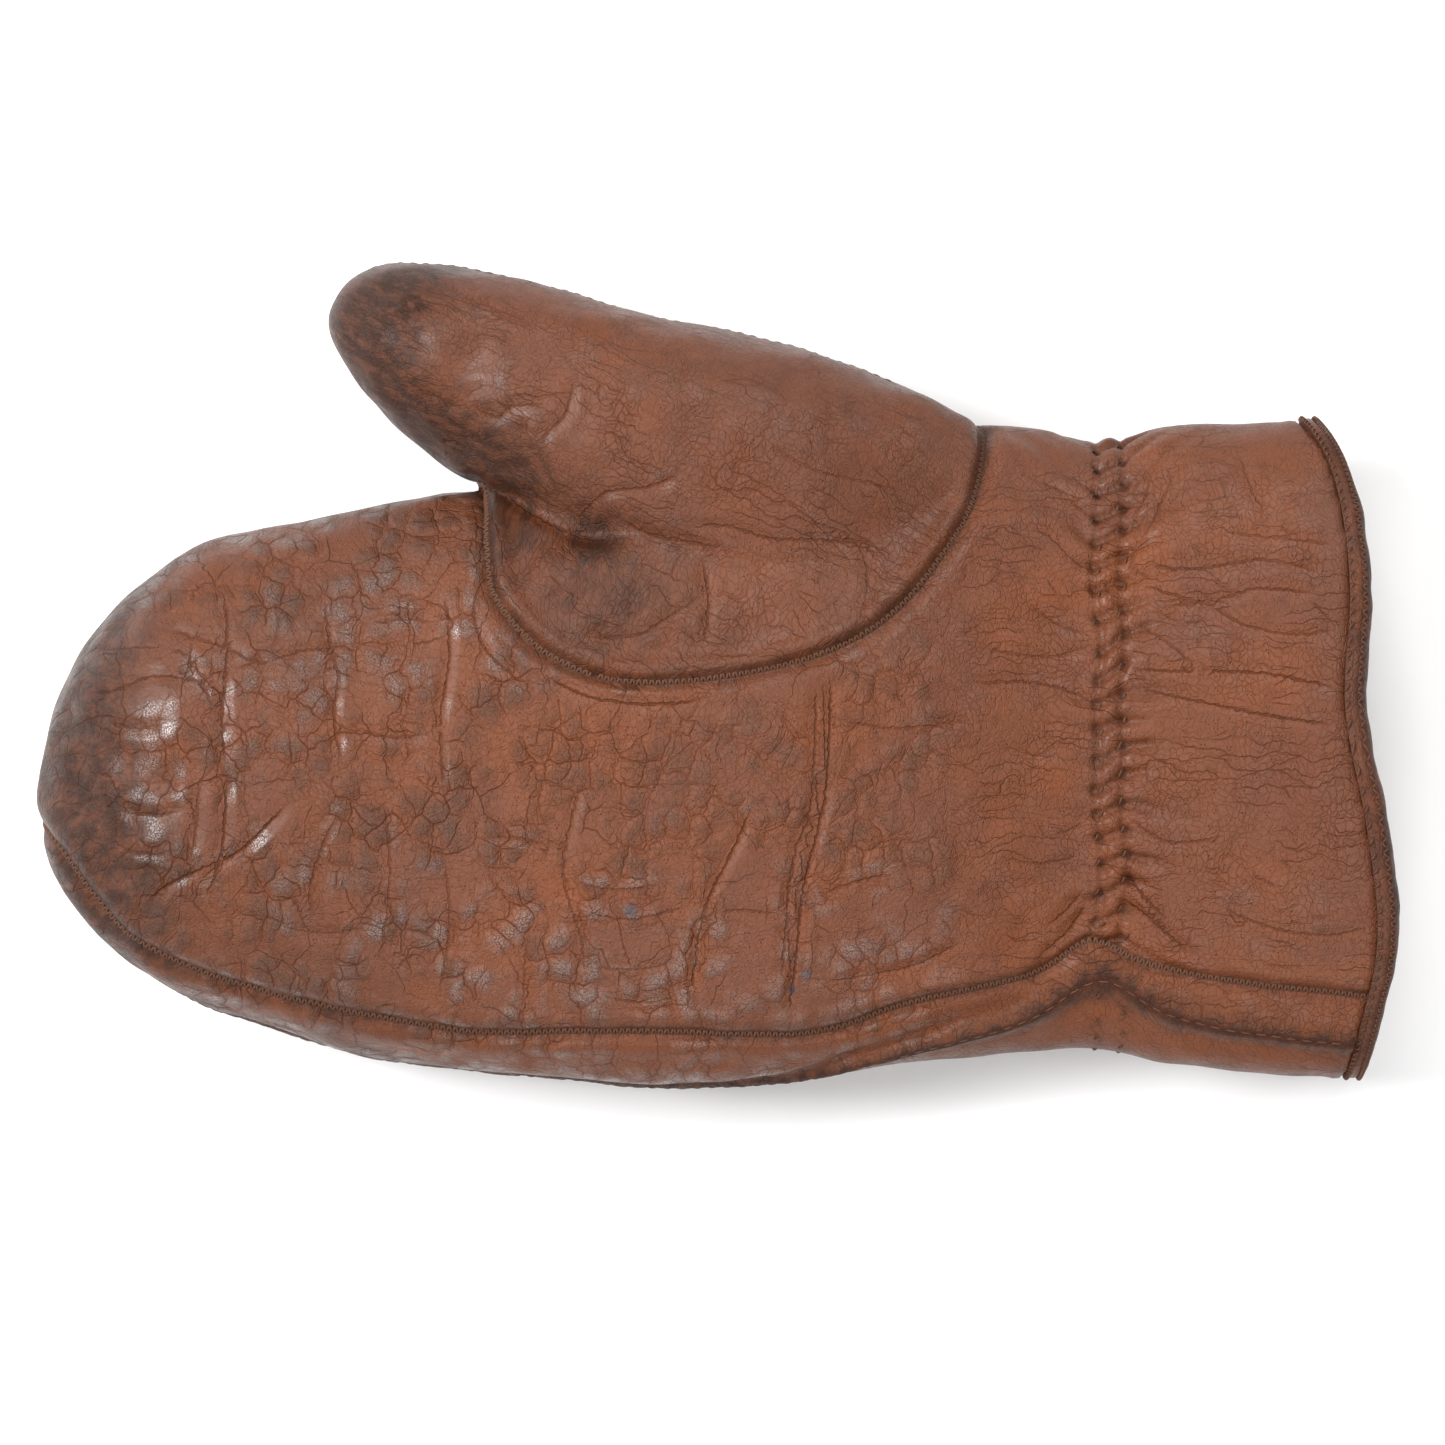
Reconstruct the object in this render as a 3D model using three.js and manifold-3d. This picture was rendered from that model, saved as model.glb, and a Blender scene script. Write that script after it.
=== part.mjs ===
// A lined leather mitten for the right hand, lying on its back with the palm up.
// Millimetres, +Z up. +X points to the cuff, +Y to the thumb's side.
// The origin is under the middle of the whole mitten, on the surface it lies on.
import * as THREE from 'three';
import { LoftGeometry } from 'three/addons/geometries/LoftGeometry.js';
import { mergeVertices } from 'three/addons/utils/BufferGeometryUtils.js';
import Module from 'manifold-3d';

// ---------- driving dimensions ----------
const length = 230; // fingertip to hem
const width = 140; // little-finger edge to the thumb's outer edge
const height = 43.2; // thickest place of the palm, lying down
const thumbLength = 104; // tip of the thumb to the far end of its oval base
const thumbGirth = 33; // height of the thumb where it is fullest

const leather = 2; // thickness of the leather
const lining = 4; // thickness of the pile lining
const gap = 0.3; // room between two pieces that lie on each other
const hemWidth = 4; // how far the hem's binding reaches over the leather
const binding = 0.9; // thickness of the binding
const liningTurn = 1.5; // thickness of the lining's edge inside the binding
const elasticWidth = 8;
const elasticThickness = 1;
const thread = 0.35; // radius of the sewing thread
const wristRows = 4.5; // distance between the two shirring rows
const hemRowIn = 3.2; // the hem's inner stitch row, from the edge of the cuff
const hemRowOut = 1.4; // the hem's outer stitch row, from the edge of the cuff

// ---------- plan and height scales ----------
// Plan points below are written for a mitten of 230 x 140 mm whose palm is 43.2 mm thick.
const alongScale = length / 230;
const acrossScale = width / 140;
const heightScale = height / 43.2;
const plan = (x, y) => new THREE.Vector2(x * alongScale, y * acrossScale);

const wristX = 66 * alongScale; // the middle between the shirring rows
const roundness = 2.4; // exponent of the cross-sections: 2 is an ellipse, more is squarer
const sidesOfHand = 24;
const sidesOfThumb = 16;

// A table of rows [x, a, b, ...] as a smooth function of x.
function table(rows) {
  const xs = rows.map((row) => row[0]);
  const values = rows.flatMap((row) => row.slice(1));
  const curve = new THREE.CubicInterpolant(xs, values, rows[0].length - 1);
  return (x) => Array.from(curve.evaluate(THREE.MathUtils.clamp(x, xs[0], xs.at(-1))));
}

// Quarter of a superellipse: 1 where t is 0, and 0 where t is 1.
const noseFall = (t, power) => (t <= 0 ? 1 : Math.max(0, 1 - t ** power) ** (1 / power));

// ---------- the hand's and the thumb's pouch ----------
// A pouch lies along its own x axis with its tip at tipX. Each row of its body holds x, the y of its
// two edges, half its height and the height of its middle. The nose closes it as a superellipse.
const hand = {
  tipX: -length / 2,
  tipY: -21 * acrossScale,
  noseX: -84 * alongScale,
  nosePowers: [2, 2.4],
  noseSlopes: [0.25, -0.37],
  sides: sidesOfHand,
  stations: [-56, -24, 8, 32, 46, 58, 66, 74, 88].map((x) => x * alongScale),
  endX: 125 * alongScale,
  body: table(
    [
      [-84, 23.2, -57.6, 21.4, 20.6],
      [-60, 27.7, -64.4, 22, 21],
      [-38, 31.4, -67.8, 22.2, 21],
      [-14, 34, -69.9, 22, 21],
      [10, 37.8, -68.8, 21.2, 20.6],
      [32, 41, -66.6, 19.2, 20],
      [46, 42.4, -65.2, 17.6, 19],
      [56, 40.9, -64.4, 16.4, 18.2],
      [66, 39, -64, 15.6, 18],
      [76, 41.6, -66.2, 16.6, 18.4],
      [90, 43, -67.8, 17.2, 18.7],
      [125, 43.4, -70, 17.4, 18.8],
    ].map(([x, top, low, half, mid]) => [
      x * alongScale,
      top * acrossScale,
      low * acrossScale,
      half * heightScale,
      mid * heightScale,
    ]),
  ),
};

const thumbTipToRoot = 39.6; // from the thumb's tip to the root point, along the thumb
const thumbAlong = thumbLength / 104;
const thumbHigh = thumbGirth / 33;
const thumb = {
  tipX: 0,
  tipY: -1.1,
  noseX: 26 * thumbAlong,
  nosePowers: [2.6, 2.2],
  noseSlopes: [0.2, -0.15],
  sides: sidesOfThumb,
  stations: [44, 64, 84].map((x) => x * thumbAlong),
  endX: thumbLength - 1,
  body: table(
    [
      [26, 17, -15.7, 15.4, 21],
      [40, 19.8, -17.3, 16.2, 22.5],
      [54, 22.8, -18.6, 16.5, 23.8],
      [70, 27.2, -18, 16.4, 24.6],
      [88, 29.6, -15, 15, 25],
      [104, 31.4, -9, 11, 24],
    ].map(([x, top, low, half, mid]) => [
      x * thumbAlong,
      top,
      low,
      half * thumbHigh,
      mid * heightScale,
    ]),
  ),
};
const thumbTurn = THREE.MathUtils.degToRad(-27);
const root = plan(-30, 45.7);
const thumbPlace = new THREE.Matrix4()
  .makeTranslation(root.x, root.y, 0)
  .multiply(new THREE.Matrix4().makeRotationZ(thumbTurn))
  .multiply(new THREE.Matrix4().makeTranslation(-thumbTipToRoot * thumbAlong, 0, 0));
const thumbPlaceBack = thumbPlace.clone().invert();

// The outline of a pouch at x, set in by inset all round: its two edges, half height and middle.
function outlineAt(pouch, x, inset) {
  const [top, low, half, mid] = pouch.body(x);
  const tipX = pouch.tipX + inset;
  if (x >= pouch.noseX) return { top: top - inset, low: low + inset, half: half - inset, mid };
  const t = (pouch.noseX - x) / (pouch.noseX - tipX);
  const back = x - pouch.noseX;
  const edge = (value, slope, power) =>
    pouch.tipY + (value + slope * back - pouch.tipY) * noseFall(t, power);
  return {
    top: edge(top - inset, pouch.noseSlopes[0], pouch.nosePowers[0]),
    low: edge(low + inset, pouch.noseSlopes[1], pouch.nosePowers[1]),
    half: (half - inset) * noseFall(t, 2),
    mid,
  };
}

// The point of a pouch's skin at x and at an angle round the section: 0 is the top edge in plan.
function skinPoint(pouch, x, angle, inset) {
  const { top, low, half, mid } = outlineAt(pouch, x, inset);
  const lobe = (value) => Math.sign(value) * Math.abs(value) ** (2 / roundness);
  const y = (top + low) / 2 + ((top - low) / 2) * lobe(Math.cos(angle));
  return new THREE.Vector3(x, y, mid + half * lobe(Math.sin(angle)));
}

// Height of a pouch's upper skin over a point of its own plan, or null beside it.
function skinHeight(pouch, x, y) {
  if (x <= pouch.tipX) return null;
  const { top, low, half, mid } = outlineAt(pouch, x, 0);
  const q = Math.abs(y - (top + low) / 2) / ((top - low) / 2);
  return q >= 1 ? null : mid + half * noseFall(q, roundness);
}

const noseSteps = [0.004, 0.07, 0.22, 0.5];
const stationsOf = (pouch, inset) => {
  const tipX = pouch.tipX + inset;
  const nose = noseSteps.map((share) => tipX + share * (pouch.noseX - tipX));
  return [...nose, pouch.noseX, ...pouch.stations, pouch.endX - inset];
};

// ---------- solids ----------
const wasm = await Module();
wasm.setup();

function solid(geometry) {
  const bare = new THREE.BufferGeometry();
  bare.setAttribute('position', geometry.getAttribute('position'));
  bare.setIndex(geometry.getIndex());
  const merged = mergeVertices(bare, 1e-4);
  const mesh = new wasm.Mesh({
    numProp: 3,
    vertProperties: new Float32Array(merged.attributes.position.array),
    triVerts: new Uint32Array(merged.index.array),
  });
  return new wasm.Manifold(mesh);
}

function geometryOf(manifold) {
  const mesh = manifold.getMesh();
  const geometry = new THREE.BufferGeometry();
  geometry.setAttribute('position', new THREE.BufferAttribute(mesh.vertProperties, 3));
  geometry.setIndex(new THREE.BufferAttribute(mesh.triVerts, 1));
  geometry.computeVertexNormals();
  return geometry;
}

function pouchSolid(pouch, inset) {
  const sections = stationsOf(pouch, inset).map((x) =>
    Array.from({ length: pouch.sides }, (_, k) =>
      skinPoint(pouch, x, (k / pouch.sides) * 2 * Math.PI, inset),
    ),
  );
  return new LoftGeometry(sections, { capStart: true, capEnd: true });
}

// An upright prism over a closed plan outline, from low to high.
const far = 2 * length; // well outside the mitten
const everywhere = [plan(-far, -far), plan(far, -far), plan(far, far), plan(-far, far)];
function prism(points, low = -far, high = far) {
  const outline = new THREE.Shape(points);
  const geometry = new THREE.ExtrudeGeometry(outline, { depth: high - low, bevelEnabled: false });
  return solid(geometry.translate(0, 0, low));
}

// The whole mitten's form, set in by inset all round, open at neither end, flat where it lies.
const forms = new Map();
function form(inset) {
  if (!forms.has(inset)) {
    const handSolid = solid(pouchSolid(hand, inset));
    const thumbSolid = solid(pouchSolid(thumb, inset).applyMatrix4(thumbPlace));
    const lying = prism(everywhere, inset, far);
    forms.set(inset, handSolid.add(thumbSolid).intersect(lying));
  }
  return forms.get(inset);
}
const wall = (outside, inside) => form(outside).subtract(form(inside));

// The hem's edge in plan: x of the cut edge at each y.
const hemEdge = table(
  [
    [-74, 109],
    [-62, 112],
    [-45, 115],
    [-26, 113],
    [-6, 109.4],
    [14, 110.3],
    [30, 108.6],
    [40, 105],
    [50, 97],
  ].map(([y, x]) => [y * acrossScale, x * alongScale]),
);

// Everything on the hand's side of the hem's edge, moved in by back.
function insideHem(back) {
  const steps = 12;
  const edge = Array.from({ length: steps + 1 }, (_, k) => {
    const y = THREE.MathUtils.lerp(-74, 50, k / steps) * acrossScale;
    return new THREE.Vector2(hemEdge(y)[0] - back, y);
  });
  const start = new THREE.Vector2(edge[0].x, -far);
  const end = new THREE.Vector2(edge.at(-1).x, far);
  return prism([new THREE.Vector2(-far, -far), start, ...edge, end, new THREE.Vector2(-far, far)]);
}
const between = (nearEdge, fromEdge) => insideHem(nearEdge).subtract(insideHem(fromEdge));

// A slab across the mitten from x = low to x = high.
function slab(low, high) {
  const corner = (x, y) => new THREE.Vector2(x, y);
  return prism([corner(low, -far), corner(high, -far), corner(high, far), corner(low, far)]);
}

// ---------- seams ----------
const smooth = (points, steps) =>
  new THREE.CatmullRomCurve3(points.map((p) => new THREE.Vector3(p.x, p.y, 0))).getSpacedPoints(steps);

// Seam between the palm and the strip, from the fingertip to the hem, in plan.
const palmSeam = smooth(
  [
    plan(-120, -22),
    plan(-111.4, -30),
    plan(-101, -43),
    plan(-86, -51.2),
    plan(-66, -56.8),
    plan(-40, -60.8),
    plan(-14, -60.8),
    plan(16, -61),
    plan(33, -55.8),
    plan(54, -50.8),
    plan(63, -45.2),
    plan(72, -49.4),
    plan(88, -52.6),
    plan(124, -56.4),
  ],
  40,
);

// Seam round the thumb's oval base, from the wrist's side round through the palm to the crotch.
const ovalSeam = smooth(
  [
    plan(43.4, 46),
    plan(44.8, 36),
    plan(40.2, 23.5),
    plan(30, 10.5),
    plan(17, 3),
    plan(-1, -1),
    plan(-17, -1.4),
    plan(-29, 3.4),
    plan(-37.4, 12.6),
    plan(-39, 22),
    plan(-40, 31.4),
  ],
  26,
);

// The same seam on the hidden side, where the thumb meets the panel wrapped round the index edge.
const underSeam = smooth([plan(43.4, 46), plan(36, 39.4), plan(10, 33), plan(-16, 29.6), plan(-40, 31.4)], 10);
const roundThumb = [plan(-56, 35), plan(-74, 42), plan(-82, 62), plan(-82, 92), plan(62, 92), plan(60, 48)];

// Plan outline that closes seam round the free thumb, grown by margin.
function thumbOutline(seam, margin) {
  const points = [...seam.map((p) => new THREE.Vector2(p.x, p.y)), ...roundThumb];
  if (!THREE.ShapeUtils.isClockWise(points)) points.reverse();
  return points.map((point, k) => {
    const before = points[(k + points.length - 1) % points.length];
    const after = points[(k + 1) % points.length];
    const run = after.clone().sub(before).normalize();
    return new THREE.Vector2(point.x - run.y * margin, point.y + run.x * margin);
  });
}

const thumbSplit = 21 * heightScale; // height where the thumb's upper seam gives way to the under seam
function thumbRegion(margin) {
  const upper = prism(thumbOutline(ovalSeam, margin), thumbSplit - margin, far);
  const under = prism(thumbOutline(underSeam, margin), -far, thumbSplit);
  return upper.add(under);
}

// Height of the seams round the back panel: rows of x, on the little-finger side, on the index side.
const backSeam = table(
  [
    [-130, 15, 12],
    [-100, 15, 10],
    [-60, 16, 6],
    [-20, 18, 5],
    [4, 21.4, 5],
    [22, 25.6, 5],
    [38, 27.6, 5.5],
    [52, 28, 6],
    [63, 29.4, 6.5],
    [76, 29, 6.5],
    [90, 28.8, 6.5],
    [130, 28, 6.5],
  ].map(([x, low, top]) => [x * alongScale, low * heightScale, top * heightScale]),
);

// Everything below the back panel's seams, raised by lift.
const overSides = 1.3; // how far out, in half widths, the seam surface keeps its height
function backRegion(lift) {
  const inner = plan(0, -40).y;
  const outer = plan(0, 12).y;
  const sections = Array.from({ length: 18 }, (_, k) => {
    const x = THREE.MathUtils.lerp(-130, 130, k / 17) * alongScale;
    const [low, top] = backSeam(x).map((z) => z + lift);
    return [
      new THREE.Vector3(x, overSides * width, -far),
      new THREE.Vector3(x, overSides * width, top),
      new THREE.Vector3(x, outer, top),
      new THREE.Vector3(x, inner, low),
      new THREE.Vector3(x, -overSides * width, low),
      new THREE.Vector3(x, -overSides * width, -far),
    ];
  });
  return solid(new LoftGeometry(sections, { capStart: true, capEnd: true }));
}

// Everything on the little-finger side of the palm seam, grown by margin.
function stripRegion(margin) {
  const seam = palmSeam.map((p) => new THREE.Vector2(p.x, p.y + margin));
  const left = new THREE.Vector2(seam[0].x, -far);
  const right = new THREE.Vector2(seam.at(-1).x, -far);
  return prism([left, right, ...seam.reverse()]);
}

// ---------- threads and the places they follow ----------
const threadOut = gap + thread; // middle of a thread, over the leather

// The upper skin of the whole mitten at a plan point, and the way out of it.
function topAt(x, y) {
  const own = new THREE.Vector3(x, y, 0).applyMatrix4(thumbPlaceBack);
  const heights = [skinHeight(hand, x, y), skinHeight(thumb, own.x, own.y)];
  return Math.max(...heights.map((z) => z ?? 0));
}
function overTop(x, y) {
  const step = 0.5;
  const slopeX = (topAt(x + step, y) - topAt(x - step, y)) / (2 * step);
  const slopeY = (topAt(x, y + step) - topAt(x, y - step)) / (2 * step);
  const out = new THREE.Vector3(-slopeX, -slopeY, 1).normalize();
  return new THREE.Vector3(x, y, topAt(x, y)).addScaledVector(out, threadOut);
}

// A point on the side of a pouch set in by inset, at height z: side is 1 for its top edge in plan,
// -1 for the other.
function onSide(pouch, x, z, side, inset) {
  const { top, low, half, mid } = outlineAt(pouch, x, inset);
  const rise = THREE.MathUtils.clamp((z - mid) / half, -0.98, 0.98);
  const y = (top + low) / 2 + side * ((top - low) / 2) * noseFall(Math.abs(rise), roundness);
  return new THREE.Vector3(x, y, mid + half * rise);
}

function threadAlong(points, steps, radius = thread) {
  const extrudePath = new THREE.CatmullRomCurve3(points);
  const section = new THREE.Shape();
  section.absarc(0, 0, radius, 0, 2 * Math.PI);
  return new THREE.ExtrudeGeometry(section, { extrudePath, steps, curveSegments: 2 });
}

const alongX = (low, high, count) =>
  Array.from({ length: count }, (_, k) => THREE.MathUtils.lerp(low, high, k / (count - 1)) * alongScale);

// The two closing seams of the back panel: hidden stitches in the middle of the leather's thickness.
const closingSeam = (column, side, low, high) =>
  alongX(low, high, 27).map((x) => onSide(hand, x, backSeam(x)[column] + gap / 2, side, leather / 2));
const closingSteps = 30;
const ridgePath = closingSeam(0, -1, -104, 104);
const indexPath = closingSeam(1, 1, -98, 98);
const sideRidgeStitching = threadAlong(ridgePath, closingSteps);
const indexBackStitching = threadAlong(indexPath, closingSteps);

// The room that a thread takes up in the leather: as long as the thread and a little over at each end.
function roomAlong(path) {
  const stub = (from, to) => {
    const past = to.clone().add(to.clone().sub(from).setLength(4 * gap));
    return solid(threadAlong([to.clone().lerp(from, 0.1), past], 1, thread + gap));
  };
  const body = solid(threadAlong(path, closingSteps, thread + gap));
  return body.add(stub(path[1], path[0])).add(stub(path.at(-2), path.at(-1)));
}
const stitchRoom = roomAlong(ridgePath).add(roomAlong(indexPath));

// ---------- leather ----------
const liningOut = leather + gap;
const liningIn = liningOut + lining;
const turnIn = liningOut + liningTurn; // inner face of the lining's edge at the hem
const bindingIn = turnIn + gap + binding; // inner face of the binding

const pastHem = -length / 2; // well beyond the cut edge
const hemSpace = form(-gap)
  .subtract(form(binding + gap))
  .add(form(turnIn).subtract(form(liningIn + leather)))
  .intersect(between(pastHem, hemWidth + gap));
const beforeBinding = insideHem(binding + gap);
const leatherWall = wall(0, leather).intersect(beforeBinding).subtract(hemSpace).subtract(stitchRoom);

const thumbSpace = thumbRegion(gap);
const backSpace = backRegion(gap);
const backLeather = leatherWall.subtract(thumbSpace).intersect(backRegion(0));
const overBack = leatherWall.subtract(thumbSpace).subtract(backSpace);
const stripLeather = overBack.intersect(stripRegion(0));
const palmLeather = overBack.subtract(stripRegion(gap));
const thumbLeather = wall(0, leather).intersect(thumbRegion(0));

// ---------- hem binding, folded round the edge of leather and lining ----------
const bindingBody = wall(0, bindingIn).intersect(between(0, hemWidth));
const bindingHollow = wall(binding, turnIn + gap).intersect(insideHem(binding));
const hemBinding = bindingBody.subtract(bindingHollow);

// ---------- wrist elastic, in a channel between leather and lining ----------
const elasticSlab = slab(wristX - elasticWidth / 2, wristX + elasticWidth / 2);
const channelSlab = slab(wristX - elasticWidth / 2 - gap, wristX + elasticWidth / 2 + gap);
const wristElastic = wall(liningOut, liningOut + elasticThickness).intersect(elasticSlab);
const channel = wall(leather, liningOut + elasticThickness + gap).intersect(channelSlab);

// ---------- lining ----------
const liningSplit = 19.5 * heightScale;
const liningWall = wall(liningOut, liningIn).intersect(beforeBinding).subtract(hemSpace).subtract(channel);
const handLining = liningWall.subtract(thumbSpace);
const palmLining = handLining.intersect(prism(everywhere, liningSplit + gap, far));
const backLining = handLining.intersect(prism(everywhere, -far, liningSplit));
const thumbLining = liningWall.intersect(thumbRegion(0));

// ---------- stitching on the leather ----------
// Points along the seam whose x lies between low and high.
const within = (points, low, high) => points.filter((p) => p.x > low && p.x < high);
const seamEnd = -106 * alongScale;
const cuffEnd = hemEdge(-55 * acrossScale)[0] - hemWidth - 1;
const palmEdgeStitching = threadAlong(
  within(palmSeam, seamEnd, cuffEnd).map((p) => overTop(p.x, p.y - gap / 2)),
  44,
);
const thumbSetStitching = threadAlong(
  ovalSeam.slice(3, -4).map((p) => overTop(p.x, p.y)),
  26,
);

// The thumb's closing seam climbs from under its outer edge to the top of its tip.
const thumbSeamRows = table([
  [2, 0.55],
  [12, 0.4],
  [26, 0],
  [50, -0.35],
  [96, -0.45],
]);
const thumbOuterStitching = threadAlong(
  [3, 7, 12, 18, 26, 36, 48, 60, 72, 82].map((m) => {
    const x = m * thumbAlong;
    const { half, mid } = outlineAt(thumb, x, -threadOut);
    return onSide(thumb, x, mid + half * thumbSeamRows(m)[0], 1, -threadOut);
  }),
  18,
).applyMatrix4(thumbPlace);

const rowRing = wall(-gap - 2 * thread, -gap);
const overStrip = stripRegion(threadOut + thread + gap).subtract(backRegion(-threadOut - thread - gap));
const rowAt = (x) => rowRing.intersect(slab(x - thread, x + thread)).subtract(overStrip);
const hemRowAt = (back) => rowRing.intersect(between(back - thread, back + thread));

// ---------- the mitten ----------
const mitten = new THREE.Group();
mitten.name = 'mitten';

const finish = {
  leather: new THREE.MeshStandardMaterial({ color: 0x8f5338, roughness: 0.5, metalness: 0 }),
  edgeLeather: new THREE.MeshStandardMaterial({ color: 0x6b3c28, roughness: 0.55, metalness: 0 }),
  pile: new THREE.MeshStandardMaterial({ color: 0xd9c7a6, roughness: 0.95, metalness: 0 }),
  elastic: new THREE.MeshStandardMaterial({ color: 0xe6e0d2, roughness: 0.9, metalness: 0 }),
  thread: new THREE.MeshStandardMaterial({ color: 0x3c2216, roughness: 0.7, metalness: 0 }),
};

function add(name, geometry, material) {
  const mesh = new THREE.Mesh(geometry, material.clone());
  mesh.name = name;
  mitten.add(mesh);
}

add('palm_leather', geometryOf(palmLeather), finish.leather);
add('back_leather', geometryOf(backLeather), finish.leather);
add('side_strip_leather', geometryOf(stripLeather), finish.leather);
add('thumb_leather', geometryOf(thumbLeather), finish.leather);
add('hem_binding', geometryOf(hemBinding), finish.edgeLeather);
add('palm_lining', geometryOf(palmLining), finish.pile);
add('back_lining', geometryOf(backLining), finish.pile);
add('thumb_lining', geometryOf(thumbLining), finish.pile);
add('wrist_elastic', geometryOf(wristElastic), finish.elastic);
add('palm_edge_stitching', palmEdgeStitching, finish.thread);
add('side_ridge_stitching', sideRidgeStitching, finish.thread);
add('index_back_stitching', indexBackStitching, finish.thread);
add('thumb_set_stitching', thumbSetStitching, finish.thread);
add('thumb_outer_stitching', thumbOuterStitching, finish.thread);
add('wrist_stitch_row_hand', geometryOf(rowAt(wristX - wristRows / 2)), finish.thread);
add('wrist_stitch_row_cuff', geometryOf(rowAt(wristX + wristRows / 2)), finish.thread);
add('hem_stitching_inner', geometryOf(hemRowAt(hemRowIn)), finish.thread);
add('hem_stitching_outer', geometryOf(hemRowAt(hemRowOut)), finish.thread);

export default mitten;
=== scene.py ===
# %% [markdown]
# # A lined leather mitten
# This lesson dresses the plain solids of a right-hand mitten, which lies on its back with the palm up.
# The real one is cut from four panels of soft pigskin, sewn edge to edge with a zigzag stitch, gathered
# at the wrist by two rows of shirring, bound at the hem and lined with wool pile. The solids say where
# each panel, lining and stitch row is, and everything below is built in the same metres and axes.

# %% The frame
import math

import bmesh
import bpy
import numpy as np
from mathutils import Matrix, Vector
from mathutils.bvhtree import BVHTree


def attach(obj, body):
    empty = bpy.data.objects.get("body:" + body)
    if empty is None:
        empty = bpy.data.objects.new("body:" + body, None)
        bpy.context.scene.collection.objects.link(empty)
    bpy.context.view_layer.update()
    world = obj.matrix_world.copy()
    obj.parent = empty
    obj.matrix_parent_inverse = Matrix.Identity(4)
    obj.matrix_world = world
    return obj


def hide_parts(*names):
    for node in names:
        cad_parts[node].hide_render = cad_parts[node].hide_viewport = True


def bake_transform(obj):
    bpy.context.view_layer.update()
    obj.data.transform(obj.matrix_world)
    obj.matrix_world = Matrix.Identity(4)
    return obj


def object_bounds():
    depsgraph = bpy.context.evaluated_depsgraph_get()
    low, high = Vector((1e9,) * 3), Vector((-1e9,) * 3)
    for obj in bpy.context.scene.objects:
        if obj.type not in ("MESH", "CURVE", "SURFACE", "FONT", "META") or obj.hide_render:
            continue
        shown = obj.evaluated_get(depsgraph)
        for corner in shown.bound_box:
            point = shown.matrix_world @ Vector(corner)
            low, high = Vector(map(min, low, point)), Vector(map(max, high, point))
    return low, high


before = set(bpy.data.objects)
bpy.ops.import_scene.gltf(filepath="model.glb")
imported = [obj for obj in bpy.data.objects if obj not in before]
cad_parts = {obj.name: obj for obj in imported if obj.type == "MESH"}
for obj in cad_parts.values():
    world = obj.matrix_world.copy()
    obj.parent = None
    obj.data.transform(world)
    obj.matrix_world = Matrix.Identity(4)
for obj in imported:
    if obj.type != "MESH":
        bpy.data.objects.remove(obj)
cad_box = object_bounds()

# %% [markdown]
# The patterns of a mitten are drawn in millimetres for one size, 230 x 140 mm lying 43.4 mm high. The
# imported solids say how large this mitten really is, so one factor for each axis turns pattern
# millimetres into metres here. A few thicknesses are shared by all the pieces.

# %% Scale and thicknesses
PATTERN_SIZE = np.array([229.9, 140.1, 43.4])
SCALE = np.array([high - low for low, high in zip(*cad_box)]) / PATTERN_SIZE

LEATHER = 2.0
LINING = 4.0
GAP = 0.3
BINDING = 0.9
HEM_WIDTH = 4.0
LINING_TURN = 1.5
WRIST_X = 66.0
ROUNDNESS = 2.4
SECTION_MIDDLE = (0, -12.0, 18.0)
print("metres in a pattern millimetre:", SCALE.round(6))

# %% [markdown]
# The camera comes first, since it sets what has to be seen. It looks straight down through a long
# lens, as for a catalogue. The floor is a pale sheet of card. The light is soft: one box beside the
# fingertips gives the satin leather its small highlights, two wide ones above the front and the back
# fill the shadows, and a weak one keeps the cuff's end from going dull.

# %% Camera, floor and lights
VIEW_CENTRE = (0.0007, -0.0085)
VIEW_WIDTH = 0.2457
VIEW_HEIGHT = 1.5
MITTEN_MIDDLE = 0.02
SENSOR = 36.0
FLOOR_DROP = 0.0002
SKY_STRENGTH = 0.30


def deselect():
    bpy.ops.object.select_all(action="DESELECT")


bpy.ops.object.camera_add(location=(*VIEW_CENTRE, VIEW_HEIGHT), rotation=(0, 0, 0))
camera = bpy.context.object
camera.data.sensor_width = SENSOR
camera.data.lens = SENSOR * (VIEW_HEIGHT - MITTEN_MIDDLE) / VIEW_WIDTH
camera.data.clip_end = 10
bpy.context.scene.camera = camera

deselect()
bpy.ops.mesh.primitive_plane_add(size=6, location=(0, 0, -FLOOR_DROP))
floor = bpy.context.object
floor.name = "floor_card"


def soft_box(name, size, place, power):
    """A square area light at place that faces the mitten."""
    bpy.ops.object.light_add(type="AREA", location=place)
    light = bpy.context.object
    light.name = name
    light.data.size = size
    light.data.energy = power
    light.rotation_euler = (-Vector(place)).to_track_quat("-Z", "Y").to_euler()


soft_box("key_light", 0.45, (-0.62, 0.18, 0.78), 14)
soft_box("front_fill", 1.0, (0.2, -0.95, 1.4), 13)
soft_box("back_fill", 1.0, (0.1, 0.95, 1.4), 13)
soft_box("cuff_light", 0.5, (0.75, 0.45, 0.55), 2.5)

world = bpy.data.worlds.new("studio")
bpy.context.scene.world = world
world.use_nodes = True
sky = world.node_tree.nodes["Background"].inputs
sky["Color"].default_value = (1, 1, 1, 1)
sky["Strength"].default_value = SKY_STRENGTH
bpy.context.scene.view_settings.view_transform = "Standard"
print("view is", VIEW_WIDTH, "m wide at the mitten")

# %% [markdown]
# A hand and a thumb are both pouches: a tube that swells along its length and closes in a blunt nose.
# Modelled by hand this would be a lofted tube. Here each pouch is a table of rows, with x along the
# pouch, the two edges of its outline, half its height and the height of its middle, and a smooth curve
# runs through the rows. The thumb has its own axes, which are then turned and put on the hand.

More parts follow.
